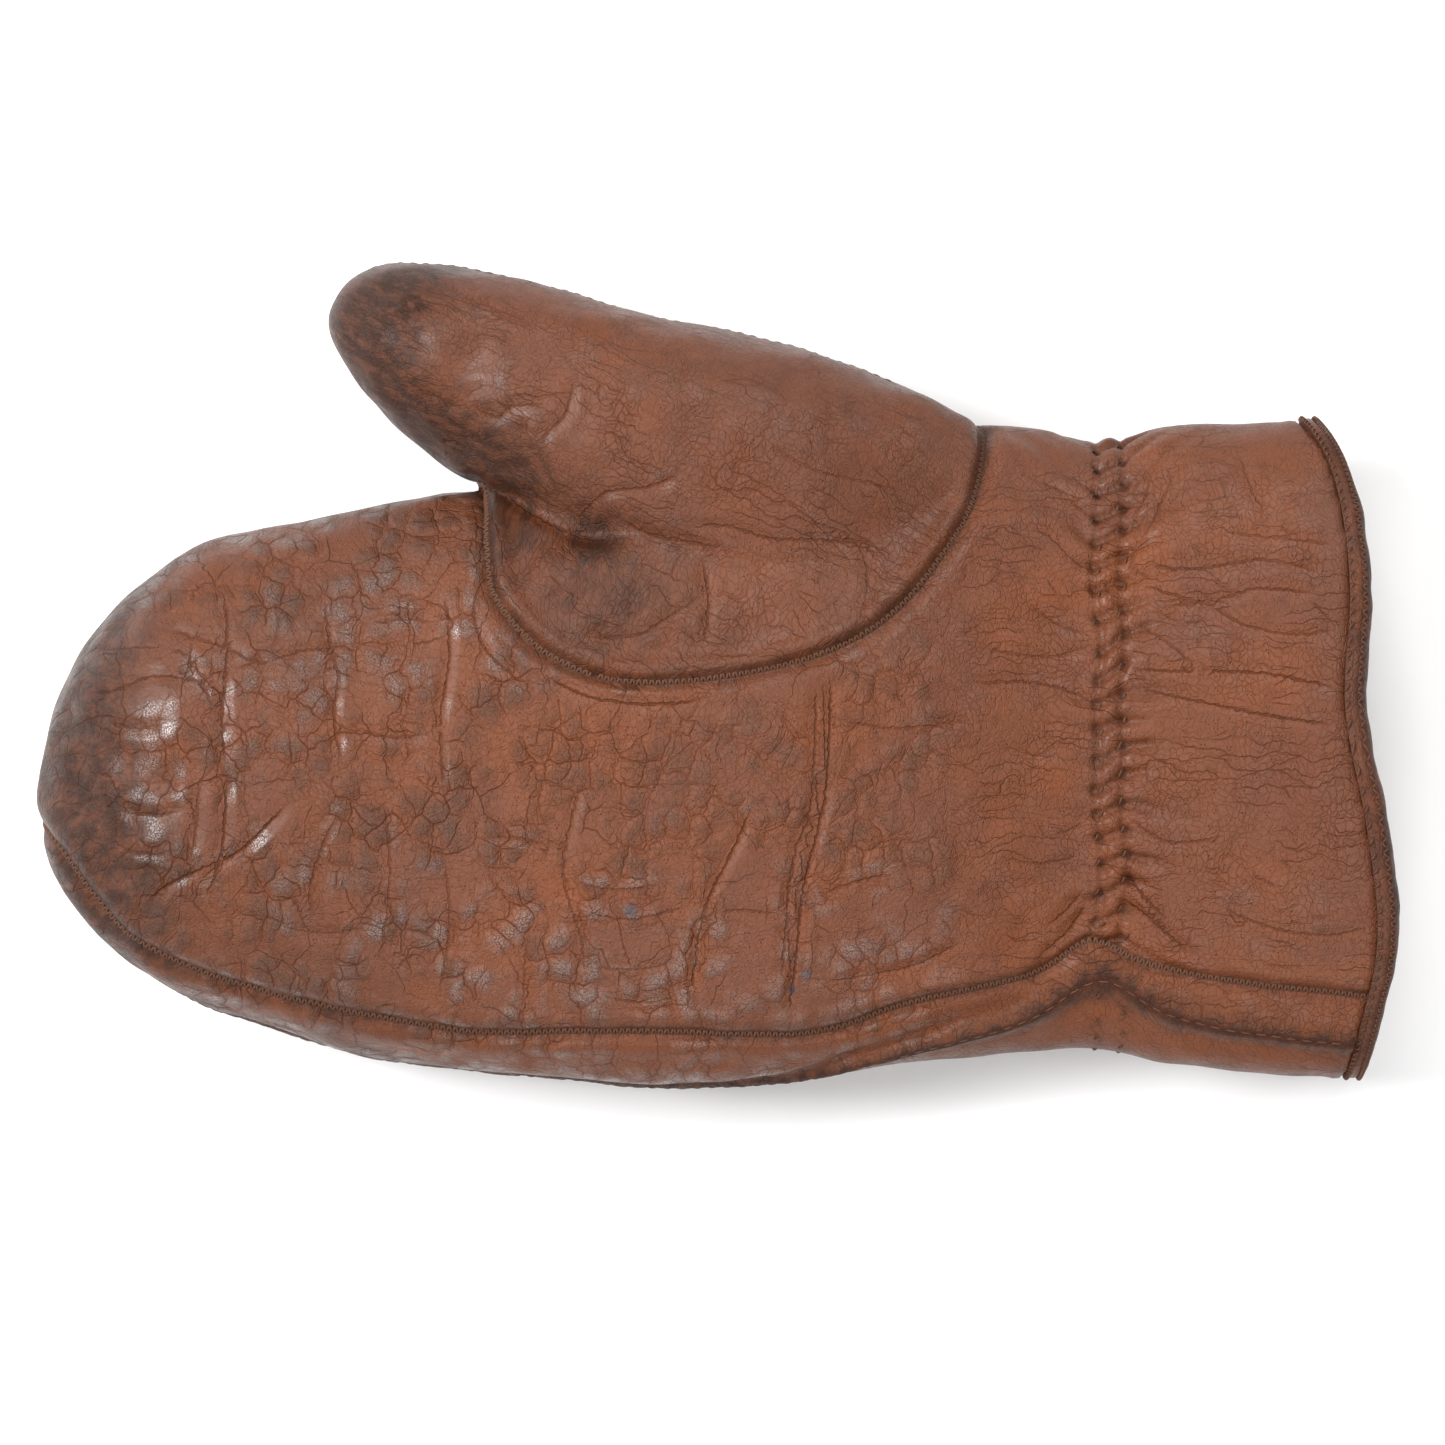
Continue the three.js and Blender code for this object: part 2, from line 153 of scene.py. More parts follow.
# %% The outlines of the two pouches


def smooth_table(rows):
    """A table of rows [x, a, b, ...] as a smooth function of x that gives one column for each value."""
    rows = np.array(rows, float)
    x, y = rows[:, 0], rows[:, 1:]
    slope = np.empty_like(y)
    slope[1:-1] = (y[2:] - y[:-2]) / (x[2:] - x[:-2])[:, None]
    slope[0] = (y[1] - y[0]) / (x[1] - x[0])
    slope[-1] = (y[-1] - y[-2]) / (x[-1] - x[-2])

    def value(at):
        at = np.clip(np.asarray(at, float), x[0], x[-1])
        k = np.clip(np.searchsorted(x, at) - 1, 0, len(x) - 2)
        span = (x[k + 1] - x[k])[..., None]
        t = (at - x[k])[..., None] / span
        start = y[k] * (1 + 2 * t) * (1 - t) ** 2 + slope[k] * span * t * (1 - t) ** 2
        end = y[k + 1] * t**2 * (3 - 2 * t) + slope[k + 1] * span * t**2 * (t - 1)
        return np.moveaxis(start + end, -1, 0)

    return value


HAND = {
    "tip": (-115.0, -21.0),
    "nose_x": -84.0,
    "nose_powers": (2.0, 2.4),
    "nose_slopes": (0.25, -0.37),
    "end_x": 125.0,
    "body": smooth_table([
        [-84, 23.2, -57.6, 21.4, 20.6],
        [-60, 27.7, -64.4, 22, 21],
        [-38, 31.4, -67.8, 22.2, 21],
        [-14, 34, -69.9, 22, 21],
        [10, 37.8, -68.8, 21.2, 20.6],
        [32, 41, -66.6, 19.2, 20],
        [46, 42.4, -65.2, 17.6, 19],
        [56, 40.9, -64.4, 16.4, 18.2],
        [66, 39, -64, 15.6, 18],
        [76, 41.6, -66.2, 16.6, 18.4],
        [90, 43, -67.8, 17.2, 18.7],
        [125, 43.4, -70, 17.4, 18.8],
    ]),
}
THUMB = {
    "tip": (0.0, -1.1),
    "nose_x": 26.0,
    "nose_powers": (2.6, 2.2),
    "nose_slopes": (0.2, -0.15),
    "end_x": 118.0,
    "body": smooth_table([
        [26, 17, -15.7, 15.4, 21],
        [40, 19.8, -17.3, 16.2, 22.5],
        [54, 22.8, -18.6, 16.5, 23.8],
        [70, 27.2, -18, 16.4, 24.6],
        [88, 29.6, -15, 15, 25],
        [100, 31.2, -11, 12, 24.4],
        [109, 28.6, -6, 9.5, 23.4],
        [120, 20, 0, 6, 22],
    ]),
}
THUMB_ROOT = np.array([-30.0, 45.7])
THUMB_TIP_TO_ROOT = 39.6
THUMB_TURN = math.radians(-27)
TURN = np.array([
    [math.cos(THUMB_TURN), -math.sin(THUMB_TURN)],
    [math.sin(THUMB_TURN), math.cos(THUMB_TURN)],
])


def onto_hand(points):
    """Points in the thumb's own axes, put in the mitten's."""
    placed = points.copy()
    placed[:, :2] = (points[:, :2] - [THUMB_TIP_TO_ROOT, 0]) @ TURN.T + THUMB_ROOT
    return placed


def in_thumb(points):
    """Points of the mitten in the thumb's own axes."""
    own = points.copy()
    own[:, :2] = (points[:, :2] - THUMB_ROOT) @ TURN + [THUMB_TIP_TO_ROOT, 0]
    return own


def nose_fall(t, power):
    return np.maximum(0, 1 - np.clip(t, 0, 1) ** power) ** (1 / power)


def outline(pouch, x, inset=0.0):
    """The two edges, half the height and the height of the middle of a pouch at x, set in by inset."""
    top, low, half, mid = pouch["body"](x)
    tip_x, tip_y = pouch["tip"]
    t = (pouch["nose_x"] - x) / (pouch["nose_x"] - tip_x - inset)
    back = np.minimum(x - pouch["nose_x"], 0)
    sides = zip((top - inset, low + inset), pouch["nose_slopes"], pouch["nose_powers"])
    top, low = [tip_y + (edge + slope * back - tip_y) * nose_fall(t, power) for edge, slope, power in sides]
    return top, low, (half - inset) * nose_fall(t, 2), mid


def skin_points(pouch, x, angle, inset=0.0):
    """Points of a pouch's skin at x and at an angle round the section, which is 0 at the top edge."""
    top, low, half, mid = outline(pouch, x, inset)

    def lobe(value):
        return np.sign(value) * np.abs(value) ** (2 / ROUNDNESS)

    y = (top + low) / 2 + (top - low) / 2 * lobe(np.cos(angle))
    z = mid + half * lobe(np.sin(angle))
    return np.stack([x + 0 * y, y, z], axis=-1)


print("palm is", round(float(np.ptp(outline(HAND, np.array(-14.0))[:2])), 1), "mm wide")

# %% [markdown]
# Each pouch starts as a flat grid, like a sheet of paper that is rolled up: one side of the grid runs
# along the pouch and the other round it. The rolled edges are merged and the far end is filled. The
# hand and the thumb are then joined and remeshed with voxels, which gives one even skin of small
# quads and a true fold where the thumb meets the hand. A little smoothing takes out the voxel steps.

# %% Helpers that read and write points in pattern millimetres


def get(collection, name, width):
    values = np.zeros(len(collection) * width, np.float32)
    collection.foreach_get(name, values)
    return values.reshape(-1, width).astype(float)


def points_of(piece):
    return get(piece.data.vertices, "co", 3) / SCALE


def move_points(piece, points):
    piece.data.vertices.foreach_set("co", (points * SCALE).astype(np.float32).ravel())
    piece.data.update()


def normals_of(piece):
    return get(piece.data.vertex_normals, "vector", 3)


def only(piece):
    """Selects one piece alone and makes it the active one."""
    deselect()
    piece.select_set(True)
    bpy.context.view_layer.objects.active = piece


def edit(piece, *steps):
    """Runs edit-mode steps on the whole of a piece."""
    only(piece)
    bpy.ops.object.mode_set(mode="EDIT")
    bpy.ops.mesh.select_all(action="SELECT")
    for step in steps:
        step()
    bpy.ops.object.mode_set(mode="OBJECT")


def select_faces(piece, wanted):
    """Selects the faces of a piece for which wanted, one value for each face, is true."""
    bpy.ops.object.mode_set(mode="OBJECT")
    piece.data.vertices.foreach_set("select", np.zeros(len(piece.data.vertices), bool))
    piece.data.edges.foreach_set("select", np.zeros(len(piece.data.edges), bool))
    piece.data.polygons.foreach_set("select", np.asarray(wanted, bool))


def edit_faces(piece, wanted, step):
    """Runs one edit-mode step on the wanted faces of a piece."""
    select_faces(piece, wanted)
    only(piece)
    bpy.ops.object.mode_set(mode="EDIT")
    bpy.ops.mesh.select_mode(type="FACE")
    step()
    bpy.ops.mesh.select_mode(type="VERT")
    bpy.ops.object.mode_set(mode="OBJECT")


print("the floor's corners in pattern millimetres:", points_of(floor).round().astype(int).tolist())

# %% Roll each pouch and join them
NOSE_SHARE = 0.3
MERGE = 1e-6
SKIN_VOXEL = 0.00093


def fill_far_end():
    bpy.ops.mesh.remove_doubles(threshold=MERGE)
    bpy.ops.mesh.select_all(action="DESELECT")
    bpy.ops.mesh.select_non_manifold(extend=False, use_boundary=True, use_wire=False, use_multi_face=False,
                                     use_non_contiguous=False, use_verts=False)
    bpy.ops.mesh.edge_face_add()
    bpy.ops.mesh.select_all(action="SELECT")
    bpy.ops.mesh.normals_make_consistent(inside=False)


def roll_pouch(name, pouch, place, inset=0.0, rings=150, sides=110):
    """A closed pouch, rolled from a grid."""
    deselect()
    bpy.ops.mesh.primitive_grid_add(x_subdivisions=rings, y_subdivisions=sides, size=1)
    piece = bpy.context.object
    piece.name = name
    grid = get(piece.data.vertices, "co", 3)
    along, around = grid[:, 0] + 0.5, grid[:, 1] + 0.5
    nose = pouch["nose_x"] - (pouch["nose_x"] - pouch["tip"][0] - inset) * np.cos(
        np.clip(along / NOSE_SHARE, 0, 1) * math.pi / 2)
    body = (along - NOSE_SHARE) / (1 - NOSE_SHARE) * (pouch["end_x"] - pouch["nose_x"]) + pouch["nose_x"]
    x = np.where(along < NOSE_SHARE, nose, body)
    move_points(piece, place(skin_points(pouch, x, around * 2 * math.pi, inset)))
    edit(piece, fill_far_end)
    return piece


def lay_flat(points, lowest=0.0, softness=0.5):
    """Rounds off what would be below the surface that the mitten lies on."""
    return lowest + softness * np.logaddexp(0, (points[:, 2] - lowest) / softness)


def whole_form(name, inset, voxel, smoothing):
    """The hand's and the thumb's pouch as one even skin, set in by inset."""
    hand_form = roll_pouch(name, HAND, lambda points: points, inset)
    thumb_form = roll_pouch(name + "_thumb", THUMB, onto_hand, inset)
    deselect()
    thumb_form.select_set(True)
    hand_form.select_set(True)
    bpy.context.view_layer.objects.active = hand_form
    bpy.ops.object.join()
    hand_form.data.remesh_voxel_size = voxel
    bpy.ops.object.voxel_remesh()
    edit(hand_form, lambda: bpy.ops.mesh.vertices_smooth(factor=0.5, repeat=smoothing))
    points = points_of(hand_form)
    points[:, 2] = lay_flat(points, inset)
    move_points(hand_form, points)
    return hand_form


skin = whole_form("skin", 0.0, SKIN_VOXEL, 4)
print("skin has", len(skin.data.polygons), "faces")

# %% [markdown]
# The seams are drawn as lines on the pattern. For every point of the skin, a signed distance to each
# line says on which side it lies: above zero on one side, below on the other. The thumb has two
# lines, one in the palm and one on the hidden side, and they melt together at the edge of the hand.

# %% Seam lines and distances to them


def smooth_line(points, count):
    """Count points at even steps along a smooth curve through points."""
    points = np.array(points, float)
    ends = np.vstack([2 * points[0] - points[1], points, 2 * points[-1] - points[-2]])
    pieces = []
    for k in range(1, len(ends) - 2):
        t = np.linspace(0, 1, 16, endpoint=False)[:, None]
        a, b, c, d = ends[k - 1], ends[k], ends[k + 1], ends[k + 2]
        pieces.append(0.5 * (2 * b + (c - a) * t + (2 * a - 5 * b + 4 * c - d) * t**2
                             + (3 * b - a - 3 * c + d) * t**3))
    dense = np.vstack(pieces + [points[-1:]])
    run = np.concatenate([[0], np.cumsum(np.linalg.norm(np.diff(dense, axis=0), axis=1))])
    steps = np.linspace(0, run[-1], count)
    return np.stack([np.interp(steps, run, dense[:, k]) for k in range(dense.shape[1])], axis=1)


def distance_to(points, line):
    """Signed distance in plan from points to a line: positive on the left of its run."""
    best = np.full(len(points), np.inf)
    signed = np.zeros(len(points))
    for a, b in zip(line[:-1], line[1:]):
        run = b - a
        away = points[:, :2] - a
        share = np.clip(away @ run / (run @ run), 0, 1)
        distance = np.linalg.norm(away - share[:, None] * run, axis=1)
        side = np.sign(run[0] * away[:, 1] - run[1] * away[:, 0])
        closer = distance < best
        best = np.where(closer, distance, best)
        signed = np.where(closer, distance * np.where(side == 0, 1, side), signed)
    return signed


def smooth_step(value, start, end):
    t = np.clip((value - start) / (end - start), 0, 1)
    return t * t * (3 - 2 * t)


palm_seam = smooth_line([
    (-122, -16), (-111.4, -30), (-101, -43), (-86, -51.2), (-66, -56.8), (-40, -60.8), (-14, -60.8),
    (16, -61), (33, -55.8), (54, -50.8), (63, -45.2), (72, -49.4), (88, -52.6), (124, -56.4),
], 90)
oval_seam = smooth_line([
    (43.4, 52), (45.2, 40), (43.6, 31), (40.2, 23.5), (30, 10.5), (17, 3), (-1, -1), (-17, -1.4),
    (-29, 3.4), (-37.4, 12.6), (-39, 22), (-40, 31.4), (-47, 33), (-60, 38), (-85, 60),
], 90)
under_seam = smooth_line([
    (43.4, 52), (36, 39.4), (10, 33), (-16, 29.6), (-40, 31.4), (-47, 33), (-60, 38), (-85, 60),
], 60)
back_seam = smooth_table([
    [-130, 15, 12], [-100, 15, 10], [-60, 16, 6], [-20, 18, 5], [4, 21.4, 5], [22, 25.6, 5],
    [38, 27.6, 5.5], [52, 28, 6], [63, 29.4, 6.5], [76, 29, 6.5], [90, 28.8, 6.5], [130, 28, 6.5],
])
hem_edge = smooth_table([
    [-74, 109], [-62, 112], [-45, 115], [-26, 113], [-6, 109.4], [14, 110.3], [30, 108.6], [40, 105],
    [50, 97],
])


FAR = 50.0
FORK_FROM, FORK_TO = 17, 24
BACK_LOW, BACK_SPAN = -40, 52


def thumb_side(points):
    """Positive on the thumb's piece of leather, negative on the hand's."""
    over = -distance_to(points, oval_seam)
    under = -distance_to(points, under_seam)
    share = smooth_step(points[:, 2], FORK_FROM, FORK_TO)
    return over * share + under * (1 - share)


def back_side(points):
    """Positive below the seams of the back panel."""
    low, top = back_seam(points[:, 0])
    across = np.clip((points[:, 1] - BACK_LOW) / BACK_SPAN, 0, 1)
    return low + (top - low) * across - points[:, 2]


def strip_side(points):
    """Positive on the little-finger side of the palm's seam."""
    return -distance_to(points, palm_seam)


def hem_side(points, back=0.0):
    """Distance in from the cut edge of the cuff, less back."""
    return hem_edge(points[:, 1])[0] - back - points[:, 0]


def ridge_side(points):
    """Height over the seam between the back and the strip, on the little-finger side only."""
    height = -back_side(points)
    return np.where(points[:, 1] < -20, height, FAR)


def index_side(points):
    """Height over the seam between the back and the palm, on the index side only."""
    height = -back_side(points)
    return np.where(points[:, 1] > 0, height, FAR)


print("palm seam is", round(float(np.linalg.norm(np.diff(palm_seam, axis=0), axis=1).sum())), "mm long")

# %% [markdown]
# A seam has to be a clean line and not a staircase of quads. So the skin is first made finer beside
# the seams and at the wrist, and then the points nearest to each line slide along the surface onto
# it. A quad that the line crosses from corner to corner is cut in two.

# %% Finer faces where the detail is, then snap the seams
SEAM_BAND = 1.9
WRIST_BAND = 6.0
LONGEST_SLIDE = 0.6
LEAST_SLOPE = 0.05
EDGE_BACK = BINDING + GAP


def centres_of(piece):
    return get(piece.data.polygons, "center", 3) / SCALE


def refine(piece):
    """Cuts the faces beside the seams and at the wrist into four."""
    centres = centres_of(piece)
    seams = [thumb_side(centres), np.where(centres[:, 2] > 12, strip_side(centres), FAR), ridge_side(centres)]
    nearest = np.min(np.abs(seams), axis=0)
    in_cuff = hem_side(centres) > -1
    at_wrist = np.abs(centres[:, 0] - WRIST_X) < WRIST_BAND
    edit_faces(piece, ((nearest < SEAM_BAND) | at_wrist) & in_cuff,
               lambda: bpy.ops.mesh.subdivide(number_cuts=1, ngon=False, quadcorner="INNERVERT"))


def slope_of(field, points, step=0.05):
    """How fast field grows along x, y and z at points."""
    shifts = np.eye(3) * step
    return np.stack([(field(points + s) - field(points - s)) / (2 * step) for s in shifts], axis=1)


def snap_seam(piece, field, where=None):
    """Slides the points nearest to the line where field is zero onto it, and cuts the quads across."""
    points, normals = points_of(piece), normals_of(piece)
    edges = np.zeros(len(piece.data.edges) * 2, np.int32)
    piece.data.edges.foreach_get("vertices", edges)
    a, b = edges.reshape(-1, 2).T
    value = field(points)
    crossing = value[a] * value[b] < 0
    if where is not None:
        usable = where(points)
        crossing &= usable[a] & usable[b]
    nearer = np.where(np.abs(value[a]) < np.abs(value[b]), a, b)
    on_line = np.unique(nearer[crossing])
    for _ in range(2):
        slope = slope_of(field, points[on_line])
        slope -= normals[on_line] * np.sum(slope * normals[on_line], axis=1)[:, None]
        steepness = np.maximum(np.sum(slope**2, axis=1), LEAST_SLOPE)[:, None]
        step = -field(points[on_line])[:, None] * slope / steepness
        length = np.linalg.norm(step, axis=1)[:, None]
        points[on_line] += step * np.minimum(1, LONGEST_SLIDE / np.maximum(length, 1e-9))
    move_points(piece, points)
    value[on_line] = 0
    mesh = bmesh.new()
    mesh.from_mesh(piece.data)
    mesh.verts.ensure_lookup_table()
    snapped = set(on_line.tolist())
    for face in list(mesh.faces):
        corners = [v.index for v in face.verts]
        if len(corners) != 4 or not snapped.intersection(corners):
            continue
        for k in (0, 1):
            ends, others = (corners[k], corners[k + 2]), (corners[1 - k], corners[3 - k])
            if all(c in snapped for c in ends) and value[others[0]] * value[others[1]] < 0:
                bmesh.utils.face_split(face, mesh.verts[ends[0]], mesh.verts[ends[1]])
                break
    mesh.to_mesh(piece.data)
    mesh.free()


def delete_faces(piece, unwanted):
    edit_faces(piece, unwanted, lambda: bpy.ops.mesh.delete(type="FACE"))


def trim_at_hem(piece):
    """Cuts a whole form off cleanly where the fold of the binding begins."""
    snap_seam(piece, lambda points: hem_side(points, EDGE_BACK))
    delete_faces(piece, hem_side(centres_of(piece), EDGE_BACK) < 0)


refine(skin)
trim_at_hem(skin)
snap_seam(skin, thumb_side)
snap_seam(skin, back_side, lambda points: thumb_side(points) < 0.01)
snap_seam(skin, strip_side, lambda points: (thumb_side(points) < 0.01) & (back_side(points) < 0.01))
centres = centres_of(skin)
in_thumb_panel = thumb_side(centres) > 0
in_back_panel = ~in_thumb_panel & (back_side(centres) > 0)
in_strip_panel = ~in_thumb_panel & ~in_back_panel & (strip_side(centres) > 0)
in_palm_panel = ~(in_thumb_panel | in_back_panel | in_strip_panel)
panels = (in_thumb_panel, in_back_panel, in_strip_panel, in_palm_panel)
print("faces of thumb, back, strip and palm:", *(int(wanted.sum()) for wanted in panels))

# %% [markdown]
# Old leather keeps every fold of the hand that wore it. The deep creases are strokes that are drawn across
# the palm, the thumb and the cuff, each with a strength. Every point of the skin then keeps its distance to
# the nearest stroke and to the nearest seam. The material draws hair-thin lines from these distances, which
# stay sharp although the faces are wider than the lines.

# %% Creases drawn one by one
CREASES = [
    # the pit of the thumb's fork
    (1.0, [(-37, 31), (-30, 26), (-24, 23.6), (-18.5, 22.4)]),
    # the fold across the palm under the fingers, and its neighbours
    (1.0, [(19, -1), (17.9, -21.9), (15.9, -29.2), (14.1, -37.4), (13.2, -47.4), (11.8, -58)]),
    (0.7, [(16.4, -2), (15.6, -22.8), (12.6, -30.9), (11.4, -42.7), (10.6, -52)]),
    (0.9, [(6, -22), (3.1, -28.7), (-2.3, -40.1), (-4.1, -51.1), (-5.5, -57.4)]),
    (0.6, [(-23, -18), (-26, -33.3), (-23.2, -43.8), (-22.3, -52.9)]),
    (0.5, [(-31, -41), (-32.3, -45.6), (-32.6, -52.9), (-33.2, -58.3)]),
    (0.5, [(-40.5, -27.8), (-33.7, -27.8), (-27.3, -29.7)]),
    (0.4, [(-40.5, -32.8), (-35, -33.1), (-29.6, -34.7)]),
    (0.5, [(-24.6, -35.1), (-16.9, -36.5), (-8.7, -35.6)]),
    (0.6, [(-23.2, -40.1), (-15, -41.5), (-4.6, -39.5)]),
    (0.4, [(-21.9, -49.7), (-13.2, -50.1), (-5.9, -48.3)]),
    (0.5, [(-20.1, -54.7), (-11.4, -55.6), (-5.5, -53.8)]),
    (0.5, [(-1.4, -40.6), (5, -40.1), (12.3, -41)]),
    (0.6, [(16.4, -37.9), (23.2, -35.1), (30.5, -33.8)]),
    (0.6, [(17.3, -52.4), (25, -51.1), (33, -49.5), (42, -45)]),
    (0.5, [(20, -8), (30, -9.5), (44, -8)]),
    # the fingers
    (1.0, [(-72.1, -22), (-80.3, -30.1), (-86.9, -33.1), (-92.8, -36), (-97.2, -40.1)]),
    (0.9, [(-82.5, -17), (-82.8, -26.1), (-83.6, -31.6), (-86.2, -38.6)]),
    (0.5, [(-86.9, -17), (-87.8, -28), (-89.1, -33.1)]),
    (0.5, [(-102.8, -22.7), (-95, -24.2), (-88.4, -22.7)]),
    (0.4, [(-112, -25.3), (-108, -24), (-104.6, -25.3)]),
    (0.5, [(-100.9, -22.7), (-100.9, -29), (-94.6, -30.5), (-91.3, -29.8)]),
    (0.6, [(-62.9, -21.7), (-66.6, -29.8), (-68.5, -37.1), (-68.1, -41.9)]),
    (0.8, [(-82.8, 13), (-82.5, 1.5), (-83.2, -7.3), (-82.6, -16)]),
    (0.7, [(-66.2, 13), (-65.1, 3.8), (-63.7, -0.7), (-64.4, -7.3), (-63, -16)]),
    (0.6, [(-60.9, 1.5), (-68, 4), (-76.9, 1.5), (-82.5, 4.2), (-93.5, 7.4)]),
    (0.6, [(-88.4, 6.7), (-88.4, -0.3), (-85.4, -4), (-84.7, -7.7)]),
    (0.7, [(-107.2, -3.6), (-100.9, -2.9), (-94.3, -0.7), (-82.8, -2.1)]),
    (0.5, [(-104, -8), (-97, -9.5), (-91, -8)]),
    (0.7, [(-46, 14), (-45, 3), (-46.5, -8), (-46, -20)]),
    (0.5, [(-60, 8), (-52, 9), (-46, 8)]),
    (0.5, [(-63, -9), (-54, -11), (-47, -10)]),
    (0.4, [(-75, 14), (-74, 8), (-75, 2)]),
    (0.5, [(-56, -20), (-55, -35), (-57, -50)]),
    (0.5, [(-46, -30), (-45, -42), (-47, -55)]),
    (0.4, [(-75, -42), (-67, -44), (-58, -43)]),
    # round the thumb's base
    (0.9, [(-29.2, -0.5), (-23.7, -3.4), (-17.8, -5), (-9.6, -5.4), (-1.8, -4.6)]),
    (0.6, [(-36.8, 19), (-40.6, 13.2), (-40.8, 8.1), (-38, 2.5), (-31, -3)]),
    (0.8, [(-16.9, 25.9), (-11.4, 23.2), (-5, 21.8), (1.3, 20.4)]),
    (0.8, [(-2.8, 20), (-1.8, 13.6), (-1.8, 9), (-2.8, 3.6)]),
    (0.7, [(-5, 24.1), (1.3, 24.5), (8.6, 22.3), (23.2, 21.8), (30.9, 19.3)]),
    (0.7, [(-24.6, 24.6), (-19.1, 30), (-12.3, 30.9), (-6, 33)]),
    (0.5, [(9.6, 30), (16.4, 25), (21.8, 23.2), (24.6, 19.1), (25, 13.6), (23.2, 7.2)]),
    (0.5, [(-23.7, 5.9), (-15, 5.9), (-11.4, 7.2), (-1.8, 13.6)]),
    (0.5, [(-2.8, 3.6), (2.3, 2.6), (9, 3.4)]),
    (0.4, [(8, 38), (16, 34), (24, 32), (33, 30)]),
    (0.4, [(-44.5, 44.6), (-39.8, 48), (-35.8, 47.3)]),
    (0.5, [(-42.9, 45.3), (-37.1, 42.6), (-34.8, 44.6), (-27.4, 45)]),
    (0.5, [(-30.4, 36.9), (-28.4, 40.6), (-25.7, 43.3), (-24, 50)]),
    (0.5, [(-59.3, 60.1), (-55, 60.4), (-47.2, 62.5)]),
    # the cuff, and the folds that the shirring pulls
    (0.5, [(85, 23.8), (92.9, 22.7), (104.8, 21.5)]),
    (0.6, [(71.5, 18.2), (80.1, 17.4), (90, 19), (96.6, 18.2), (102.3, 16.6)]),
    (0.7, [(70.6, 14.9), (81.8, 12), (90.4, 14.1), (101.1, 13.3)]),
    (0.6, [(74.3, 10.8), (82.5, 11.6), (87.5, 8.3), (97, 6.3), (104.8, 7.5)]),
    (0.5, [(68.9, 8.8), (74.3, 5.9), (81.8, -0.3)]),
    (0.8, [(69.4, 0.5), (77.6, 0.1), (84.2, 0.1), (92.5, -0.3), (104.8, -2.8)]),
    (0.8, [(70.6, -2.8), (80.1, -4.8), (92.5, -7.3), (104, -9)]),
    (0.5, [(51.3, 24.4), (55.8, 23.2), (59.5, 19.5), (63.6, 16.6)]),
    (0.5, [(51.3, 12.4), (57, 8.3), (63.6, 5.9)]),
    (0.5, [(44, 4), (56.2, 2.6), (63.6, 5)]),
    (0.6, [(42, -2), (51.3, -1.6), (58.2, -2.8), (64, -5.3)]),
    (0.6, [(73.5, 34.7), (71.8, 29.3), (68.9, 24.8)]),
    (0.5, [(77.6, 34.7), (74.3, 27.7), (70.6, 21.1)]),
    (0.5, [(87.9, 38.4), (89.6, 31.8), (91.6, 27.7), (91.6, 24)]),
    (0.6, [(67.9, -23.6), (72.6, -27.1), (76.5, -28.7), (85.5, -27.9)]),
    (0.5, [(88.2, -32.2), (92.1, -35.3), (96.4, -36.5)]),
    (0.6, [(84.3, -39.6), (89.8, -42), (96.8, -43.9), (104.6, -44.3), (110, -42.8)]),
    (0.8, [(66.4, -37.3), (71, -40.4), (76.5, -45.1), (80, -48.2)]),
    (0.8, [(67.5, -32.6), (72.2, -38.5), (76.5, -42.8)]),
    (0.5, [(62.5, -24), (59.7, -26.4), (54.7, -27.9)]),
    (0.5, [(62.5, -30.7), (54.7, -32.2), (46, -31)]),
    (0.7, [(62.1, -36.1), (58.6, -40.4), (54.7, -43.5)]),
    (0.8, [(62.5, -38.5), (59.3, -43.5), (53, -49)]),
]
CREASE_REACH = 3.0
CREASE_STEPS = 12
CREASE_TAPER = 4.0
TOP_SIDE = 16.0


def nearest_crease(points):
    """For each point: the signed distance to its nearest crease, that distance, and the strength."""
    found = np.tile([CREASE_REACH, CREASE_REACH, 0.0], (len(points), 1))
    over = points[:, 2] > TOP_SIDE
    for strength, stroke in CREASES:
        line = smooth_line(stroke, CREASE_STEPS)
        low, high = line.min(0) - CREASE_REACH, line.max(0) + CREASE_REACH
        near = np.flatnonzero(over & np.all((points[:, :2] > low) & (points[:, :2] < high), axis=1))
        signed = distance_to(points[near], line)
        ends = np.minimum(np.linalg.norm(points[near, :2] - line[0], axis=1),
                          np.linalg.norm(points[near, :2] - line[-1], axis=1))
        closer = np.abs(signed) < found[near, 1]
        taper = strength * smooth_step(ends, 0, CREASE_TAPER)
        rows = near[closer]
        found[rows] = np.stack([signed, np.abs(signed), taper], axis=1)[closer]
    return found


print(len(CREASES), "creases")

# %% [markdown]
# The grain has to follow the hide and not slide through it, so each point also gets its place on the
# leather, in millimetres: how far it is along the pouch, and how far round. The way round starts in
# the middle of the palm for the panels on top, and in the middle of the back for the back panel, so
# that the jump where both ways meet is never inside a panel.

# %% Each point's place on the hide
ROUND_STEPS = 180
STATIONS = 80
LEAST_RADIUS = 0.5


def round_table(pouch, start, stations):
    """Length round the section from the angle start, for each station and for angles once round."""
    angles = start + np.linspace(-math.pi, math.pi, ROUND_STEPS)
    x, angle = np.meshgrid(stations, angles, indexing="ij")
    ring = skin_points(pouch, x, angle)
    steps = np.linalg.norm(np.diff(ring, axis=1), axis=2)
    run = np.concatenate([np.zeros((len(stations), 1)), np.cumsum(steps, axis=1)], axis=1)
    return run - run[:, [ROUND_STEPS // 2]]


